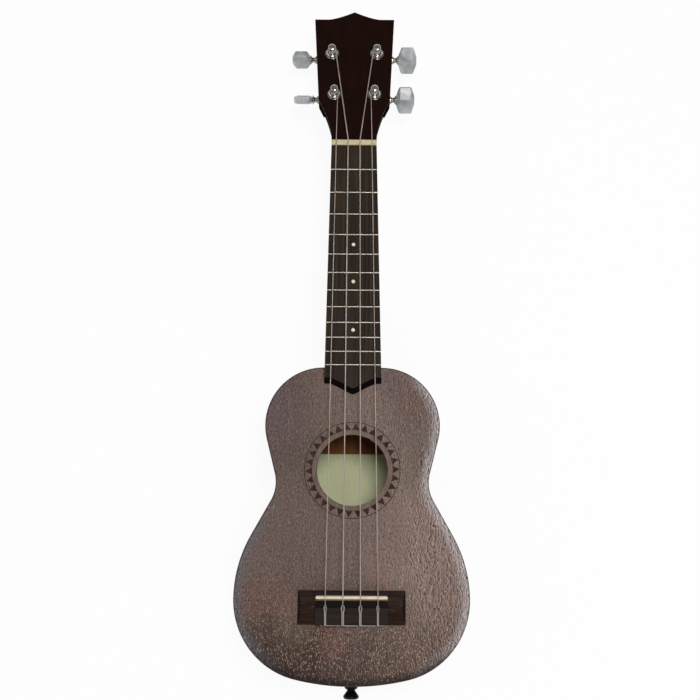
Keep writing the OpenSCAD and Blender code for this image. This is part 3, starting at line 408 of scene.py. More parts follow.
def bridge_wood():
    """Dark wood, grained along the bridge: brown wings, a greyer block, painted shade in the channel and a
    painted highlight on the rail.
    """
    p = Paint("bridge_wood", specular_ior_level=0.06)
    v = p.place()
    side, along, high = (p.part(v, axis) for axis in range(3))
    streak = p.noise(v, (26, 520, 400), detail=5, rough=0.65)
    brown = p.ramp(streak, (0.3, srgb(24, 13, 7)), (0.5, srgb(38, 24, 15)), (0.74, srgb(54, 37, 25)))
    grey = p.ramp(streak, (0.3, srgb(31, 23, 21)), (0.55, srgb(40, 32, 30)), (0.8, srgb(49, 40, 37)))
    block = p.step(p.calc("ABSOLUTE", side), BLOCK_HALF + BLOCK_BLUR, BLOCK_HALF - BLOCK_BLUR)
    tone = p.mix(block, brown, grey)
    # Pale scratches along the wings' ridge, partly a painted highlight where the ridge catches the light
    scratch_and_highlight = p.step(p.noise(v, (90, 1500, 900)), 0.58, 0.7)
    ridge = p.times(p.step(p.calc("ABSOLUTE", p.calc("ADD", along, -RIDGE_Y)), 0.005, 0.001),
                    p.calc("SUBTRACT", 1.0, block))
    tone = p.mix(p.times(scratch_and_highlight, ridge, 0.55), tone, srgb(120, 106, 94))
    # Painted highlight on the rail behind the saddle, and painted shade in the channel under the strings
    rail_highlight = p.times(block, p.step(high, 0.0662, 0.0668), p.step(along, -0.0008, -0.0014))
    tone = p.mix(p.times(rail_highlight, 0.85), tone, srgb(112, 86, 60))
    # Painted shade: near black in the recessed channel
    channel = p.times(block, p.step(high, 0.0655, 0.0635), p.step(along, -0.0125, -0.0115),
                      p.step(along, 0.001, -0.001))
    tone = p.mix(p.times(channel, 0.85), tone, srgb(10, 6, 5))
    # Painted shade on the wings' bevelled ends, which turn across X
    bevel = p.step(p.calc("ABSOLUTE", p.normal_part(0)), 0.25, 0.6)
    tone = p.mix(p.times(bevel, 0.7), tone, srgb(16, 9, 6))
    p.set("base color", tone)
    p.set("roughness", p.step(streak, 0.25, 0.75, 0.52, 0.42))
    p.set("normal", p.bump(p.plus(streak, p.times(scratch_and_highlight, 0.4)), 0.3, 0.12))
    return p.material


def metal(name, color, rough, sides=None):
    """Plated metal with faint smears, and a painted dark reflection on faces that turn along Y if sides is
    given.
    """
    p = Paint(name, metallic=1.0)
    v = p.place()
    haze = p.noise(v, (900, 900, 900), detail=3)
    smear = p.noise(v, (120, 120, 120))
    dull = tuple(c * 0.82 for c in color[:3]) + (1,)
    tone = p.mix(p.step(smear, 0.35, 0.7), color, dull)
    if sides:
        # Painted dark reflection on faces that turn along Y
        tone = p.mix(p.step(p.calc("ABSOLUTE", p.normal_part(1)), 0.15, 0.6, 0, 0.9), tone, sides)
    p.set("base color", tone)
    p.set("roughness", p.step(haze, 0.3, 0.7, rough, rough + 0.04))
    p.set("normal", p.bump(haze, 0.05, 0.02))
    return p.material


def moulded(name, tones, rough, scale, spec=0.5, coat=0.0, subsurface=0.0):
    """Plastic or bone with a faint cloud of tone and a slightly uneven surface."""
    p = Paint(name, specular_ior_level=spec, coat_weight=coat, coat_roughness=0.1,
              subsurface_weight=subsurface, subsurface_scale=0.002)
    v = p.place()
    cloud = p.noise(v, (scale, scale, scale), detail=3, rough=0.55, bend=0.6)
    grit = p.noise(v, (2600, 2600, 2600))
    p.set("base color", p.ramp(cloud, (0.3, tones[0]), (0.52, tones[1]), (0.75, tones[2])))
    p.set("roughness", p.step(grit, 0.3, 0.7, rough, rough + 0.08))
    p.set("normal", p.bump(grit, 0.08, 0.03))
    return p.material


def paper():
    p = Paint("label_paper", roughness=0.85, specular_ior_level=0.2)
    v = p.place()
    fibre = p.noise(v, (900, 900, 900), detail=5, rough=0.7)
    age = p.noise(v, (22, 22, 22), detail=3)
    tone = p.ramp(fibre, (0.3, srgb(204, 208, 162)), (0.7, srgb(220, 223, 182)))
    p.set("base color", p.mix(p.step(age, 0.4, 0.75, 0, 0.35), tone, srgb(196, 195, 148)))
    p.set("normal", p.bump(fibre, 0.25, 0.05))
    return p.material


def string_nylon():
    p = Paint("string_nylon", specular_ior_level=0.5, subsurface_weight=0.25, subsurface_scale=0.0006)
    cloud = p.noise(p.place(), (300, 24, 300), detail=3)
    p.set("base color", p.ramp(cloud, (0.3, srgb(150, 138, 129)), (0.7, srgb(180, 167, 158))))
    p.set("roughness", p.step(cloud, 0.3, 0.7, 0.38, 0.28))
    return p.material


def gloss_veneer():
    p = Paint("veneer", specular_ior_level=0.05, coat_weight=0.04, coat_roughness=0.08)
    v = p.place()
    streak = p.noise(v, (260, 16, 260), detail=4, rough=0.6)
    p.set("base color", p.ramp(streak, (0.3, srgb(24, 11, 8)), (0.55, srgb(29, 13, 9)),
                               (0.78, srgb(35, 16, 11))))
    p.set("roughness", p.step(streak, 0.3, 0.7, 0.3, 0.24))
    p.set("normal", p.bump(p.noise(v, (90, 30, 90)), 0.04, 0.05))
    return p.material


MAT = {
    "body_wood": body_wood("body_wood", "top"),
    "back_wood": body_wood("back_wood", "back"),
    "side_wood": body_wood("side_wood", "side"),
    "neck_wood": plain_wood("neck_wood", (srgb(58, 40, 34), srgb(88, 63, 54), srgb(110, 83, 72)),
                            0.48, 0.15, fade=(0.325, 0.350, srgb(26, 13, 10))),
    "head_wood": plain_wood("head_wood", (srgb(12, 6, 5), srgb(18, 9, 7), srgb(25, 13, 10)), 0.6, 0.0),
    # Raw inner wood; its tone is partly painted shade, darkened for the shade inside the hole
    "inner_wood": plain_wood("inner_wood", (srgb(122, 74, 40), srgb(138, 86, 49), srgb(150, 98, 59)),
                             0.7, 0.1),
    "veneer": gloss_veneer(),
    "fretboard": fretboard_wood(),
    "bridge": bridge_wood(),
    "rosette_dark": plain_wood("rosette_dark", (srgb(40, 23, 17), srgb(54, 32, 25), srgb(66, 42, 34)),
                               0.5, 0.08),
    "rosette_ring": plain_wood("rosette_ring", (srgb(92, 76, 68), srgb(106, 90, 80), srgb(118, 102, 92)),
                               0.5, 0.15, grain=(300, 60, 260)),
    "fret_metal": metal("fret_metal", srgb(156, 147, 136), 0.34, sides=srgb(64, 57, 50)),
    "chrome": metal("chrome", srgb(196, 192, 186), 0.12),
    "screw_steel": metal("screw_steel", srgb(190, 188, 184), 0.22),
    "worm_steel": metal("worm_steel", srgb(166, 163, 152), 0.2),
    "gear_brass": metal("gear_brass", srgb(196, 160, 92), 0.28),
    "pearl": moulded("pearl", (srgb(190, 178, 154), srgb(208, 198, 176), srgb(220, 212, 194)), 0.3, 700),
    "nut_bone": moulded("nut_bone", (srgb(178, 164, 121), srgb(191, 178, 135), srgb(202, 190, 149)),
                        0.34, 220, subsurface=0.15),
    "saddle_bone": moulded("saddle_bone", (srgb(206, 192, 166), srgb(217, 204, 180), srgb(226, 214, 194)),
                           0.34, 220, subsurface=0.15),
    "paper": paper(),
    "black": moulded("black", (srgb(3, 3, 3), srgb(6, 6, 6), srgb(11, 10, 10)), 0.3, 160, spec=0.16),
    "button": moulded("button", (srgb(132, 135, 137), srgb(168, 171, 173), srgb(214, 216, 217)),
                      0.24, 95, coat=0.22),
    "string": string_nylon(),
}


# Mesh helpers

# Points nearer than this are one point, and faces within this angle are one face
WELD, FLAT_ANGLE = 0.002, math.radians(0.6)

# Edges that bend more than this many degrees stay sharp
NODE_SHARP, BODY_SHARP, INLAY_SHARP, BUTTON_SHARP, STRING_SHARP = 35, 40, 30, 50, 60


def finish_mesh(obj, sharp, weighted):
    obj.data.shade_smooth()
    obj.data.set_sharp_from_angle(angle=math.radians(sharp))
    if weighted:
        normals = obj.modifiers.new("normals", "WEIGHTED_NORMAL")
        normals.keep_sharp = True


def piece(name, bm, material, node, sharp, weighted, replaced=None, inner=None):
    """A new object from bm that rides with a CAD node and, if named, stands for nodes."""
    data = bpy.data.meshes.new(name)
    bm.to_mesh(data)
    bm.free()
    obj = bpy.data.objects.new(name, data)
    SCENE.collection.objects.link(obj)
    for key in (material, inner):
        if key:
            data.materials.append(MAT[key])
    finish_mesh(obj, sharp, weighted)
    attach(obj, BODY_OF[node])
    if replaced is not None:
        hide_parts(*replaced)
    return obj


def dress(node, material, width, angle, past=None):
    """A copy of a CAD node with edges eased by width where they bend more than angle.

    If past is given, faces beyond its Y take its material.
    """
    bm = bmesh.new()
    bm.from_mesh(NODES[node].data)
    bmesh.ops.remove_doubles(bm, verts=bm.verts, dist=WELD * MM)
    if width:
        bmesh.ops.dissolve_limit(bm, angle_limit=FLAT_ANGLE, verts=bm.verts, edges=bm.edges)
        limit = math.radians(angle)
        edges = [e for e in bm.edges if len(e.link_faces) == 2 and e.calc_face_angle(0) > limit]
        bmesh.ops.bevel(bm, geom=edges, offset=width * MM, segments=2, profile=0.5,
                        affect="EDGES", clamp_overlap=True)
        bmesh.ops.dissolve_degenerate(bm, dist=WELD * MM, edges=bm.edges)
    if past:
        bmesh.ops.bisect_plane(bm, geom=[*bm.verts, *bm.edges, *bm.faces], dist=WELD * MM,
                               plane_co=(0, past[0] * MM, 0), plane_no=(0, 1, 0))
    made = piece(node + "_dressed", bm, material, node, NODE_SHARP, True, [node], past and past[1])
    for face in made.data.polygons:
        if past and face.center.y > past[0] * MM:
            face.material_index = 1


# Body outline, as in the CAD part
TAIL_Y, JOINT_Y = -66.0, 173.5
LOWER, WAIST, UPPER = 89.0, 58.2, 66.8
LOWER_Y, WAIST_Y = -2.0, 85.5
TAIL_R, WAIST_R, SHOULDER_R, FULLNESS = 184.0, 28.0, 44.5, 0.87
DEPTH, TOP_T, BACK_T, SIDE_T = 60.0, 2.5, 2.8, 2.2
HOLE_Y, HOLE_R = 94.8, 27.0
# Rounded edges of the plates, and rings of points on the flat beside them
RIM = 12.0
RIM_RINGS = (4, 7, RIM)
TOP_EASE, BACK_EASE, HOLE_EASE, HOLE_STEPS = 1.3, 1.5, 0.5, 3
SUPPORT = 0.4


def arc(cx, cy, r, a0, a1, n):
    """Points in n steps from the angle a0 to a1, in degrees."""
    steps = [math.radians(a0 + (a1 - a0) * i / n) for i in range(n + 1)]
    return [(cx + r * math.cos(a), cy + r * math.sin(a)) for a in steps]


def half_outline(d):
    """Right half of the outline, from the tail to the neck joint, set in by d."""
    tail_h = LOWER_Y - TAIL_Y
    lower_r = (2 * tail_h * TAIL_R - LOWER ** 2 - tail_h ** 2) / (2 * (TAIL_R - LOWER))
    tail_cy = TAIL_Y + TAIL_R
    lower_cx = LOWER - lower_r
    drop, rise = LOWER - WAIST, WAIST_Y - LOWER_Y
    flank_r = FULLNESS * ((drop ** 2 + rise ** 2) / (2 * drop) - WAIST_R)
    flank_cx = LOWER - flank_r
    waist_cx = WAIST + WAIST_R
    shoulder = (UPPER - SHOULDER_R, JOINT_Y - SHOULDER_R)
    tail_a = math.degrees(math.atan2(LOWER_Y - tail_cy, lower_cx))

    def tangent(cx, cy, r, sign):
        dx, dy = waist_cx - cx, WAIST_Y - cy
        return math.degrees(math.atan2(dy, dx) + sign * math.acos((r + WAIST_R) / math.hypot(dx, dy)))

    flank_a = tangent(flank_cx, LOWER_Y, flank_r, -1)
    shoulder_a = tangent(*shoulder, SHOULDER_R, 1)
    return (arc(0, tail_cy, TAIL_R - d, -90, tail_a, 8)[:-1]
            + arc(lower_cx, LOWER_Y, lower_r - d, tail_a, 0, 32)[:-1]
            + arc(flank_cx, LOWER_Y, flank_r - d, 0, flank_a, 16)
            + arc(waist_cx, WAIST_Y, WAIST_R + d, flank_a + 180, shoulder_a + 180, 20)
            + arc(*shoulder, SHOULDER_R - d, shoulder_a, 90, 36))


def outline(d):
    half = half_outline(d)
    return half + [(-x, y) for x, y in half[:0:-1]]


def circle(r, n=96):
    return [(r * math.cos(2 * math.pi * k / n), HOLE_Y + r * math.sin(2 * math.pi * k / n))
            for k in range(n)]


def edge_profile(low, high, ease, steps=5, flats=()):
    """(inset, height) pairs of a plate's edge, eased at the top, with support rings on the flat."""
    curve = [(ease * (1 - math.cos(math.radians(90 * i / steps))),
              high - ease + ease * math.sin(math.radians(90 * i / steps))) for i in range(steps + 1)]
    return [(0, low)] + curve + [(ease + SUPPORT, high)] + [(d, high) for d in flats]


def plate(name, material, low, high, ease, hole, flip):
    """A body plate with a rounded outer edge, and the soundhole if it has one.

    Its UV holds the distance from the edge, as a share of RIM, and its inner face has raw wood.
    With flip the rounded edge is the lower one.
    """
    bm = bmesh.new()
    uv = bm.loops.layers.uv.new("rim")
    inset = {}

    def level(z):
        return low + high - z if flip else z

    def ring(points, z):
        return [bm.verts.new((x * MM, y * MM, level(z) * MM)) for x, y in points]

    def join(a, b):
        for k in range(len(a)):
            j = (k + 1) % len(a)
            bm.faces.new((a[k], a[j], b[j], b[k]))

    def loop_edges(verts):
        return [bm.edges.get((verts[k], verts[(k + 1) % len(verts)])) for k in range(len(verts))]

    profile = edge_profile(low, high, ease, flats=RIM_RINGS)
    outer = [ring(outline(d), z) for d, z in profile]
    for a, b in zip(outer, outer[1:]):
        join(a, b)
    for verts, (d, z) in zip(outer, profile):
        inset.update((vert, d / RIM) for vert in verts)
    ends = [(outer[0], outer[-1])]
    if hole:
        inner = [ring(circle(HOLE_R + d), z) for d, z in edge_profile(low, high, HOLE_EASE, HOLE_STEPS)]
        for a, b in zip(inner, inner[1:]):
            join(a, b)
        ends.append((inner[0], inner[-1]))
    for which in (0, 1):
        edges = [e for pair in ends for e in loop_edges(pair[which])]
        made = bmesh.ops.triangle_fill(bm, edges=edges, use_beauty=True)
        for face in made["geom"]:
            if which == 0 and isinstance(face, bmesh.types.BMFace):
                face.material_index = 1
    bmesh.ops.recalc_face_normals(bm, faces=bm.faces)
    for face in bm.faces:
        for loop in face.loops:
            loop[uv].uv = (inset.get(loop.vert, 1.0), 0.0)
    piece(name + "_dressed", bm, material, name, BODY_SHARP, True, [name], "inner_wood")


# Of a side's four walls (outer, top, inner, bottom), the one with raw wood
INNER_WALL = 2


def side_piece(sign):
    """One half of the rim, with its length and height as UV for the grain."""
    name = "side_right" if sign > 0 else "side_left"
    outer = half_outline(0) + [(0, JOINT_Y)]
    inner = half_outline(SIDE_T) + [(0, JOINT_Y - SIDE_T)]
    z0, z1 = BACK_T, DEPTH - TOP_T
    bm = bmesh.new()
    uv = bm.loops.layers.uv.new("length")
    run, length = [0.0], 0.0
    for a, b in zip(outer, outer[1:]):
        length += math.dist(a, b)
        run.append(length)
    columns, place = [], {}
    for (xo, yo), (xi, yi), u in zip(outer, inner, run):
        column = [bm.verts.new((sign * x * MM, y * MM, z * MM))
                  for x, y, z in ((xo, yo, z0), (xo, yo, z1), (xi, yi, z1), (xi, yi, z0))]
        for vert in column:
            place[vert] = (u * MM, vert.co.z)
        columns.append(column)
    for a, b in zip(columns, columns[1:]):
        for k in range(4):
            j = (k + 1) % 4
            face = bm.faces.new((a[k], a[j], b[j], b[k]))
            face.material_index = 1 if k == INNER_WALL else 0
    bm.faces.new(columns[0])
    bm.faces.new(columns[-1][::-1])
    bmesh.ops.recalc_face_normals(bm, faces=bm.faces)
    for face in bm.faces:
        for loop in face.loops:
            loop[uv].uv = place[loop.vert]
    piece(name + "_dressed", bm, "side_wood", name, BODY_SHARP, True, [name], "inner_wood")


plate("soundboard", "body_wood", DEPTH - TOP_T, DEPTH, TOP_EASE, hole=True, flip=False)
plate("back", "back_wood", 0, BACK_T, BACK_EASE, hole=False, flip=True)
side_piece(1)
side_piece(-1)


# Rosette: a plain ring at the hole, then dark triangles between two lines
INLAY_LOW, INLAY_HIGH = DEPTH - 0.1, DEPTH + 0.04
TRIANGLES, TRIANGLE_HALF = 30, 2.75
ROSETTE_IN, ROSETTE_OUT = 31.0, 36.1
ROSETTE_TURN = math.radians(1.5)
OUTER_LINE = (ROSETTE_OUT + 0.05, ROSETTE_OUT + 0.6)
INNER_LINE = (ROSETTE_IN - 0.4, ROSETTE_IN - 0.1)
PLAIN_RING, RING_HIGH = (HOLE_R + 0.55, ROSETTE_IN - 0.5), INLAY_HIGH - 0.01


def inlay_ring(bm, r0, r1, high, n=120):
    rings = [[bm.verts.new((x * MM, y * MM, z * MM)) for x, y in circle(r, n)]
             for r, z in ((r0, INLAY_LOW), (r0, high), (r1, high), (r1, INLAY_LOW))]
    for k in range(n):
        j = (k + 1) % n
        for a, b in zip(rings, rings[1:] + rings[:1]):
            bm.faces.new((a[k], a[j], b[j], b[k]))


def inlay_prism(bm, points):
    low, high = ([bm.verts.new((x * MM, y * MM, z * MM)) for x, y in points]
                 for z in (INLAY_LOW, INLAY_HIGH))
    bm.faces.new(low[::-1])
    bm.faces.new(high)
    for k in range(len(points)):
        j = (k + 1) % len(points)
        bm.faces.new((low[k], low[j], high[j], high[k]))


def rosette():
    bm = bmesh.new()
    inlay_ring(bm, *OUTER_LINE, INLAY_HIGH)
    inlay_ring(bm, *INNER_LINE, INLAY_HIGH)
    half = TRIANGLE_HALF / ROSETTE_IN
    for k in range(TRIANGLES):
        a = 2 * math.pi * k / TRIANGLES + ROSETTE_TURN
        corners = [(ROSETTE_IN, a - half), (ROSETTE_OUT, a), (ROSETTE_IN, a + half), (ROSETTE_IN, a)]
        inlay_prism(bm, [(r * math.cos(t), HOLE_Y + r * math.sin(t)) for r, t in corners])
    bmesh.ops.recalc_face_normals(bm, faces=bm.faces)
    piece("rosette_triangles", bm, "rosette_dark", "soundboard", INLAY_SHARP, False)
    bm = bmesh.new()
    inlay_ring(bm, *PLAIN_RING, RING_HIGH)
    bmesh.ops.recalc_face_normals(bm, faces=bm.faces)
    piece("rosette_ring", bm, "rosette_ring", "soundboard", INLAY_SHARP, False)


rosette()


# Headstock frame and tuner places, as in the CAD part
NUT_Y, NUT_T = 348.0, 4.1
HEAD_Y = NUT_Y + NUT_T
TILT = math.radians(13)
SIDE_OF = (-1, -1, 1, 1)
POST_V = (42.8, 80.6, 80.6, 42.8)
POST_X = (16.0, 18.1, 18.1, 16.0)
STRING_D = (0.65, 0.9, 0.8, 0.65)
TURN_GAP, SEAT_GAP = 0.45, 0.05
GEAR_TEETH, WORM_PITCH, WORM_PITCH_R, MESH_GAP = 14, 1.6, 1.9, 0.2
HEADSTOCK_T, WORM_DROP = 11.5, 5.2
WORM_Y = GEAR_TEETH * WORM_PITCH / (2 * math.pi) + WORM_PITCH_R + MESH_GAP
WORM_Z = -HEADSTOCK_T - WORM_DROP


def on_headstock(q):
    """A point of the tilted headstock's frame, which starts at the nut's far side on the top's plane."""
    c, s = math.cos(TILT), math.sin(TILT)
    return (q[0], HEAD_Y + q[1] * c + q[2] * s, DEPTH - q[1] * s + q[2] * c)


def at_post(i, q):
    """A point of the right-hand tuner's own frame, mirrored for the left."""
    return on_headstock((SIDE_OF[i] * (q[0] + POST_X[i]), q[1] + POST_V[i], q[2]))


# Buttons: the hull of small spheres, turned about the shaft
BUTTON_X, BUTTON_L, BUTTON_W, BUTTON_T, BUTTON_R = 17.8, 15.0, 21.2, 7.4, 1.7
BUTTON_TURN = (122, 96, 40, 30)
# Where its corners are cut and how thick its edge is, as shares, and the spheres' steps in degrees
CUT_L, CUT_W, EDGE_T = 0.64, 0.34, 0.7
BALL_STEP, BALL_TOP = 18, 72


def button(i):
    l, w, t = BUTTON_L / 2 - BUTTON_R, BUTTON_W / 2 - BUTTON_R, BUTTON_T / 2 - BUTTON_R
    corners = [(x, y, z) for x in (-1, 1) for y in (-1, 1) for z in (-1, 1)]
    centres = [(x * l * CUT_L, y * w, z * t * EDGE_T) for x, y, z in corners]
    centres += [(x * l, y * w * CUT_W, z * t * EDGE_T) for x, y, z in corners]
    centres += [(x * l * CUT_L, 0, z * t) for x, y, z in corners if y > 0]
    turn = math.radians(BUTTON_TURN[i])
    bm = bmesh.new()
    for c in centres:
        for a in range(0, 360, BALL_STEP):
            for b in range(-BALL_TOP, BALL_TOP + 1, BALL_STEP):
                ca, cb = math.radians(a), math.radians(b)
                x = c[0] + BUTTON_R * math.cos(ca) * math.cos(cb) + BUTTON_L / 2
                y = c[1] + BUTTON_R * math.sin(ca) * math.cos(cb)
                z = c[2] + BUTTON_R * math.sin(cb)
                y, z = y * math.cos(turn) - z * math.sin(turn), y * math.sin(turn) + z * math.cos(turn)
                bm.verts.new(Vector(at_post(i, (BUTTON_X + x, WORM_Y + y, WORM_Z + z))) * MM)
    hull = bmesh.ops.convex_hull(bm, input=bm.verts)
    loose = [v for v in hull["geom_interior"] if isinstance(v, bmesh.types.BMVert)]
    bmesh.ops.delete(bm, geom=loose, context="VERTS")
    bmesh.ops.dissolve_limit(bm, angle_limit=math.radians(1), verts=bm.verts, edges=bm.edges)
    bmesh.ops.recalc_face_normals(bm, faces=bm.faces)
    node = "button_" + NAMES[i]
    piece(node + "_dressed", bm, "button", node, BUTTON_SHARP, True, [node])


for index in range(4):
    button(index)


# Strings and their windings, along the CAD routes
TIE_TOP, TIE_HOLE, CHANNEL_H = 6.0, 3.2, 2.9
CHANNEL_FRONT, CHANNEL_REAR, BRIDGE_REAR = 2.5, 8.0, 20.4
STRING_TAIL, LAST_TAIL = 11.0, 6.5
SADDLE_T, SADDLE_SPACING, NUT_SPACING = 2.6, 39.3, 27.9
NUT_STRING_Z, ACTION_RISE, HALF_SCALE = 66.0, 2.1, 173.0
SADDLE_Z = NUT_STRING_Z + ACTION_RISE * NUT_Y / HALF_SCALE
POST_WAIST_R, STRING_ZONE, TURNS = 2.4, 4.8, 2

# Small gaps: above a seat, past the nut's edges, and under a winding's first turn
LIFT, PAST_NUT, COIL_LIFT = 0.02, 0.3, 0.35
# Last bit of a winding, which turns in to the post's middle
LAST_TURN, TUCK_TURN, TUCK_RISE = 0.02, math.radians(24), 0.06
TUCK_OUT, TUCK_END, TUCK_EASE = 1.02, 0.3, 1.1
# A string's corners are eased. Over the saddle's round top it has corners at these angles, set out for
# a bit over half a step, so that the straight bits between them stay clear of the saddle.
STRING_EASE, EASE_STEPS, MOST_OF_LEG = 1.2, 8, 0.48
CREST_ANGLES, CREST_HALF_STEP = (135, 120, 105, 90), math.radians(8)
# A tube's sides, and its domed ends as shares of its diameter
TUBE_SIDES, CAP_R, CAP_AT, FULL_AT = 14, 0.32, 0.02, 0.14


def unit(v):
    return Vector(v).normalized()


def eased(points, r):
    """Route with each corner eased over the length r."""
    p = [Vector(q) for q in points]
    out = [p[0]]
    for before, at, after in zip(p, p[1:], p[2:]):
        u, v = before - at, after - at
        t = min(r, u.length * MOST_OF_LEG, v.length * MOST_OF_LEG)
        a, b = at + t * u.normalized(), at + t * v.normalized()
        for k in range(EASE_STEPS + 1):
            s = k / EASE_STEPS
            out.append((1 - s) ** 2 * a + 2 * s * (1 - s) * at + s * s * b)
    return out + [p[-1]]


def tube_ring(at, heading, side, r):
    other = heading.cross(side)
    angles = [2 * math.pi * k / TUBE_SIDES for k in range(TUBE_SIDES)]
    return [at + r * (math.cos(a) * side + math.sin(a) * other) for a in angles]


def tube(points, d, start):
    """Round tube of diameter d along points, with domed ends and its first side towards start."""
    p = [Vector(q) for q in points]
    legs = [(b - a).normalized() for a, b in zip(p, p[1:])]
    way = [(ahead + behind).normalized() for ahead, behind in zip(legs + legs[-1:], legs[:1] + legs)]
    side = Vector(start)
    rings = []
    for k, (at, heading) in enumerate(zip(p, way)):
        side = (side - side.dot(heading) * heading).normalized()
        if 0 < k < len(p) - 1:
            rings.append(tube_ring(at, heading, side, d / 2))
            continue
        inward = d * heading if k == 0 else -d * heading
        end = [tube_ring(at + CAP_AT * inward, heading, side, CAP_R * d),
               tube_ring(at + FULL_AT * inward, heading, side, d / 2)]
        rings += end if k == 0 else end[::-1]
    return rings_mesh(rings)


def rings_mesh(rings):
    """Closed skin over rings of points, in millimetres."""
    bm = bmesh.new()
    made = [[bm.verts.new(Vector(q) * MM) for q in ring] for ring in rings]
    count = len(made[0])
    for low, high in zip(made, made[1:]):
        for k in range(count):
            j = (k + 1) % count
            bm.faces.new((low[k], low[j], high[j], high[k]))
    bm.faces.new(made[0][::-1])
    bm.faces.new(made[-1])
    bmesh.ops.recalc_face_normals(bm, faces=bm.faces)
    return bm


def nut_x(i):
    return NUT_SPACING * (i / 3 - 0.5)


def nut_exit(i):
    return (nut_x(i), HEAD_Y + PAST_NUT, NUT_STRING_Z + STRING_D[i] / 2 + LIFT)


def to_post(i, p):
    """The reverse of at_post."""
    y, z, c, s = p[1] - HEAD_Y, p[2] - DEPTH, math.cos(TILT), math.sin(TILT)
    return Vector((SIDE_OF[i] * p[0] - POST_X[i], y * c - z * s - POST_V[i], y * s + z * c))


def coil(i):
    """Radius, pitch, lowest height and meeting angle of a winding."""
    d = STRING_D[i]
    r = POST_WAIST_R + d / 2 + SEAT_GAP
    q = to_post(i, nut_exit(i))
    meet = math.atan2(q.y, q.x) - math.acos(r / math.hypot(q.x, q.y))
    return r, d + TURN_GAP, STRING_ZONE + d / 2 + COIL_LIFT, meet


def coil_point(i, turn):
    r, pitch, low, meet = coil(i)
    a = meet - 2 * math.pi * turn
    return Vector((r * math.cos(a), r * math.sin(a), low + pitch * turn))


def coil_start(i):
    q, t = to_post(i, nut_exit(i)), coil_point(i, 0)
    return t + STRING_D[i] * unit(q - t)


def winding_path(i, per_turn=40):
    r, pitch, low, meet = coil(i)
    a = meet - 2 * math.pi * TURNS - TUCK_TURN
    z = low + pitch * (TURNS + TUCK_RISE)
    turns = [coil_point(i, k / per_turn) for k in range(per_turn * TURNS + 1)]
    into = eased([coil_point(i, TURNS + LAST_TURN),
                  (r * math.cos(a) * TUCK_OUT, r * math.sin(a) * TUCK_OUT, z),
                  (TUCK_END * math.cos(a), TUCK_END * math.sin(a), z)], TUCK_EASE)
    return [coil_start(i)] + turns + into


def tie_points(i, x, off):
    """The knot on the bridge, from the loose end to the hole that the string comes out of."""
    d = STRING_D[i]
    ring = d + 2 * SEAT_GAP
    leg = ring / 2
    top, low = DEPTH + TIE_TOP + off, DEPTH + CHANNEL_H + off
    hole, rear, front = DEPTH + TIE_HOLE, -BRIDGE_REAR - off, -CHANNEL_REAR
    step = (CHANNEL_REAR - CHANNEL_FRONT) / 6
    tail = LAST_TAIL if i == 3 else STRING_TAIL
    return [
        # Loose end, up the rear and over the top
        (x + leg + tail, rear, hole + d), (x + leg, rear, hole + d), (x + leg, rear, top),
        (x + leg, front - 3 * step, top), (x + ring, front - 1.4 * step, top),
        # Round under the string, in the channel
        (x + ring, front + step, top), (x + ring * 0.7, front + 2.1 * step, low + 0.6 * step),
        (x, front + 2.5 * step, low),
        (x - ring * 0.7, front + 2.1 * step, low + 0.6 * step), (x - ring, front + step, top),
        # Back over the top, down the rear and through the hole
        (x - ring, front - 1.4 * step, top), (x - leg, front - 3 * step, top), (x - leg, rear, top),
        (x - leg, rear, hole + 2 * d), (x, rear - 0.2 * step, hole), (x, front + 0.55 * step, hole),
    ]


def string_path(i):
    """Route from the knot over the saddle and the nut to the winding's start."""
    r, x = STRING_D[i] / 2, SADDLE_SPACING * (i / 3 - 0.5)
    off = r + SEAT_GAP + LIFT
    crest_r = (SADDLE_T / 2 + off) / math.cos(CREST_HALF_STEP)
    crest_z = SADDLE_Z - SADDLE_T / 2
    crest = [(x, crest_r * math.cos(math.radians(a)), crest_z + crest_r * math.sin(math.radians(a)))
             for a in CREST_ANGLES]
    at_nut = (nut_x(i), NUT_Y - PAST_NUT, NUT_STRING_Z + r + LIFT)
    points = [*tie_points(i, x, off), *crest, at_nut, nut_exit(i), at_post(i, coil_start(i))]
    return eased(points, STRING_EASE)


STRING_SIDE, WINDING_SIDE = (1, 0, 0.2), (0, math.sin(TILT), math.cos(TILT))
for index in range(4):
    node = "string_" + NAMES[index]
    made = tube(string_path(index), STRING_D[index], STRING_SIDE)
    piece(node + "_dressed", made, "string", node, STRING_SHARP, False, [node])
    node = "winding_" + NAMES[index]
    made = tube([at_post(index, q) for q in winding_path(index)], STRING_D[index], WINDING_SIDE)
    piece(node + "_dressed", made, "string", node, STRING_SHARP, False, [node])


# CAD nodes with eased edges: material, width in millimetres and least angle in degrees
DRESSED = {
    "neck": ("neck_wood", 0, 35, (HEAD_Y, "head_wood")),
    "headstock": ("head_wood", 0.5, 40), "headstock_veneer": ("veneer", 0.25, 40),
    "fretboard": ("fretboard", 0.12, 40), "frets": ("fret_metal", 0.2, 50),
    "position_dots": ("pearl", 0.1, 50), "nut": ("nut_bone", 0.25, 50),
    "bridge": ("bridge", 0.3, 25), "saddle": ("saddle_bone", 0.15, 40),
    "strap_button": ("black", 0.25, 50), "strap_screw": ("screw_steel", 0.1, 50),
    "label": ("paper", 0, 50),
    "tuner_covers": ("chrome", 0.25, 50), "tuner_bushings": ("chrome", 0.15, 25),
    "tuner_washers": ("chrome", 0.15, 50), "tuner_screws": ("screw_steel", 0.1, 40),
}
for key in NAMES:
    DRESSED["tuner_housing_" + key] = ("chrome", 0.25, 50)
    DRESSED["post_" + key] = ("chrome", 0, 30)
    DRESSED["worm_" + key] = ("worm_steel", 0, 40)
for node, finish in DRESSED.items():
    dress(node, *finish)

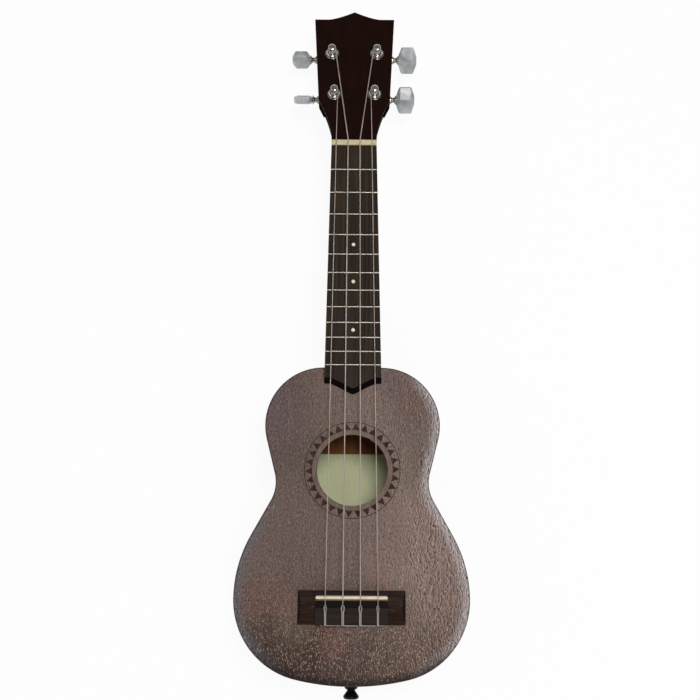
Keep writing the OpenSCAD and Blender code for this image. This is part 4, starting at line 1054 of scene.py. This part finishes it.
# CAD nodes that keep their shape
KEPT = {
    "top_linings": "inner_wood", "back_linings": "inner_wood", "neck_block": "inner_wood",
    "tail_block": "inner_wood", "top_braces": "inner_wood", "back_braces": "inner_wood",
    "bridge_plate": "inner_wood", "neck_dowels": "inner_wood",
}
for key in NAMES:
    KEPT["gear_" + key] = "gear_brass"
    KEPT["gear_screw_" + key] = "screw_steel"
for node, material in KEPT.items():
    data = NODES[node].data
    data.materials.clear()
    data.materials.append(MAT[material])


# Floor, world and lamps, in metres
FLOOR_HALF, FLOOR_Z = 6.0, -0.0003
FLOOR_GREY, FLOOR_WHITE = 0.95, 0.93


def light_path_any(tree):
    """1 for rays that see the background: camera, glossy and transmission rays."""
    path = tree.nodes.new("ShaderNodeLightPath")
    value = path.outputs["Is Camera Ray"]
    for name in ("Is Glossy Ray", "Is Transmission Ray"):
        node = tree.nodes.new("ShaderNodeMath")
        node.operation = "MAXIMUM"
        tree.links.new(value, node.inputs[0])
        tree.links.new(path.outputs[name], node.inputs[1])
        value = node.outputs[0]
    return value


def add_floor():
    """A floor that catches shadows, and is mostly plain white where it is seen."""
    bm = bmesh.new()
    corners = ((-FLOOR_HALF, -FLOOR_HALF), (FLOOR_HALF, -FLOOR_HALF),
               (FLOOR_HALF, FLOOR_HALF), (-FLOOR_HALF, FLOOR_HALF))
    bm.faces.new([bm.verts.new((x, y, FLOOR_Z)) for x, y in corners])
    data = bpy.data.meshes.new("floor")
    bm.to_mesh(data)
    bm.free()
    floor = bpy.data.objects.new("floor", data)
    SCENE.collection.objects.link(floor)
    material = bpy.data.materials.new("floor")
    material.use_nodes = True
    tree = material.node_tree
    tree.nodes.clear()
    out = tree.nodes.new("ShaderNodeOutputMaterial")
    blend = tree.nodes.new("ShaderNodeMixShader")
    matt = tree.nodes.new("ShaderNodeBsdfDiffuse")
    glow = tree.nodes.new("ShaderNodeEmission")
    share = tree.nodes.new("ShaderNodeMath")
    share.operation = "MULTIPLY"
    share.inputs[1].default_value = FLOOR_WHITE
    matt.inputs["Color"].default_value = (FLOOR_GREY, FLOOR_GREY, FLOOR_GREY, 1)
    tree.links.new(light_path_any(tree), share.inputs[0])
    tree.links.new(share.outputs[0], blend.inputs[0])
    tree.links.new(matt.outputs[0], blend.inputs[1])
    tree.links.new(glow.outputs[0], blend.inputs[2])
    tree.links.new(blend.outputs[0], out.inputs[0])
    data.materials.append(material)


# The world's grey at the horizon and overhead, for the light it gives and for what is seen of it
ROOM_GREYS = (0.55, 0.2)
SEEN_GREYS = (1.0, 0.2)
HORIZON_AT, OVERHEAD_AT = 0.02, 0.45


def add_world():
    world = bpy.data.worlds.new("studio")
    world.use_nodes = True
    SCENE.world = world
    tree = world.node_tree
    tree.nodes.clear()
    out = tree.nodes.new("ShaderNodeOutputWorld")
    blend = tree.nodes.new("ShaderNodeMixShader")
    place = tree.nodes.new("ShaderNodeTexCoord")
    split = tree.nodes.new("ShaderNodeSeparateXYZ")
    tree.links.new(place.outputs["Generated"], split.inputs[0])
    for socket, greys in ((1, ROOM_GREYS), (2, SEEN_GREYS)):
        sky = tree.nodes.new("ShaderNodeBackground")
        ramp = tree.nodes.new("ShaderNodeValToRGB")
        for element, at, grey in zip(ramp.color_ramp.elements, (HORIZON_AT, OVERHEAD_AT), greys):
            element.position = at
            element.color = (grey, grey, grey, 1)
        tree.links.new(split.outputs[2], ramp.inputs[0])
        tree.links.new(ramp.outputs[0], sky.inputs[0])
        tree.links.new(sky.outputs[0], blend.inputs[socket])
    tree.links.new(light_path_any(tree), blend.inputs[0])
    tree.links.new(blend.outputs[0], out.inputs[0])


# Each lamp's place, width and length, and power; all are aimed at one point
LAMPS = {
    "key": ((0.26, 0.40, 1.75), (0.6, 0.6), 17),
    "front": ((0.25, -1.15, 1.15), (0.9, 0.6), 6.5),
    "fill": ((-1.3, 0.2, 1.1), (1.0, 1.4), 3),
}
LAMP_AIM = Vector((0, 0.15, 0.05))


def add_lamp(name, at, size, energy):
    data = bpy.data.lights.new(name, "AREA")
    data.shape = "RECTANGLE"
    data.size, data.size_y = size
    data.energy = energy
    lamp = bpy.data.objects.new(name, data)
    SCENE.collection.objects.link(lamp)
    lamp.location = at
    lamp.rotation_euler = (LAMP_AIM - Vector(at)).to_track_quat("-Z", "Y").to_euler()


add_floor()
add_world()
for key, settings in LAMPS.items():
    add_lamp(key, *settings)
SCENE.view_settings.view_transform = "Standard"
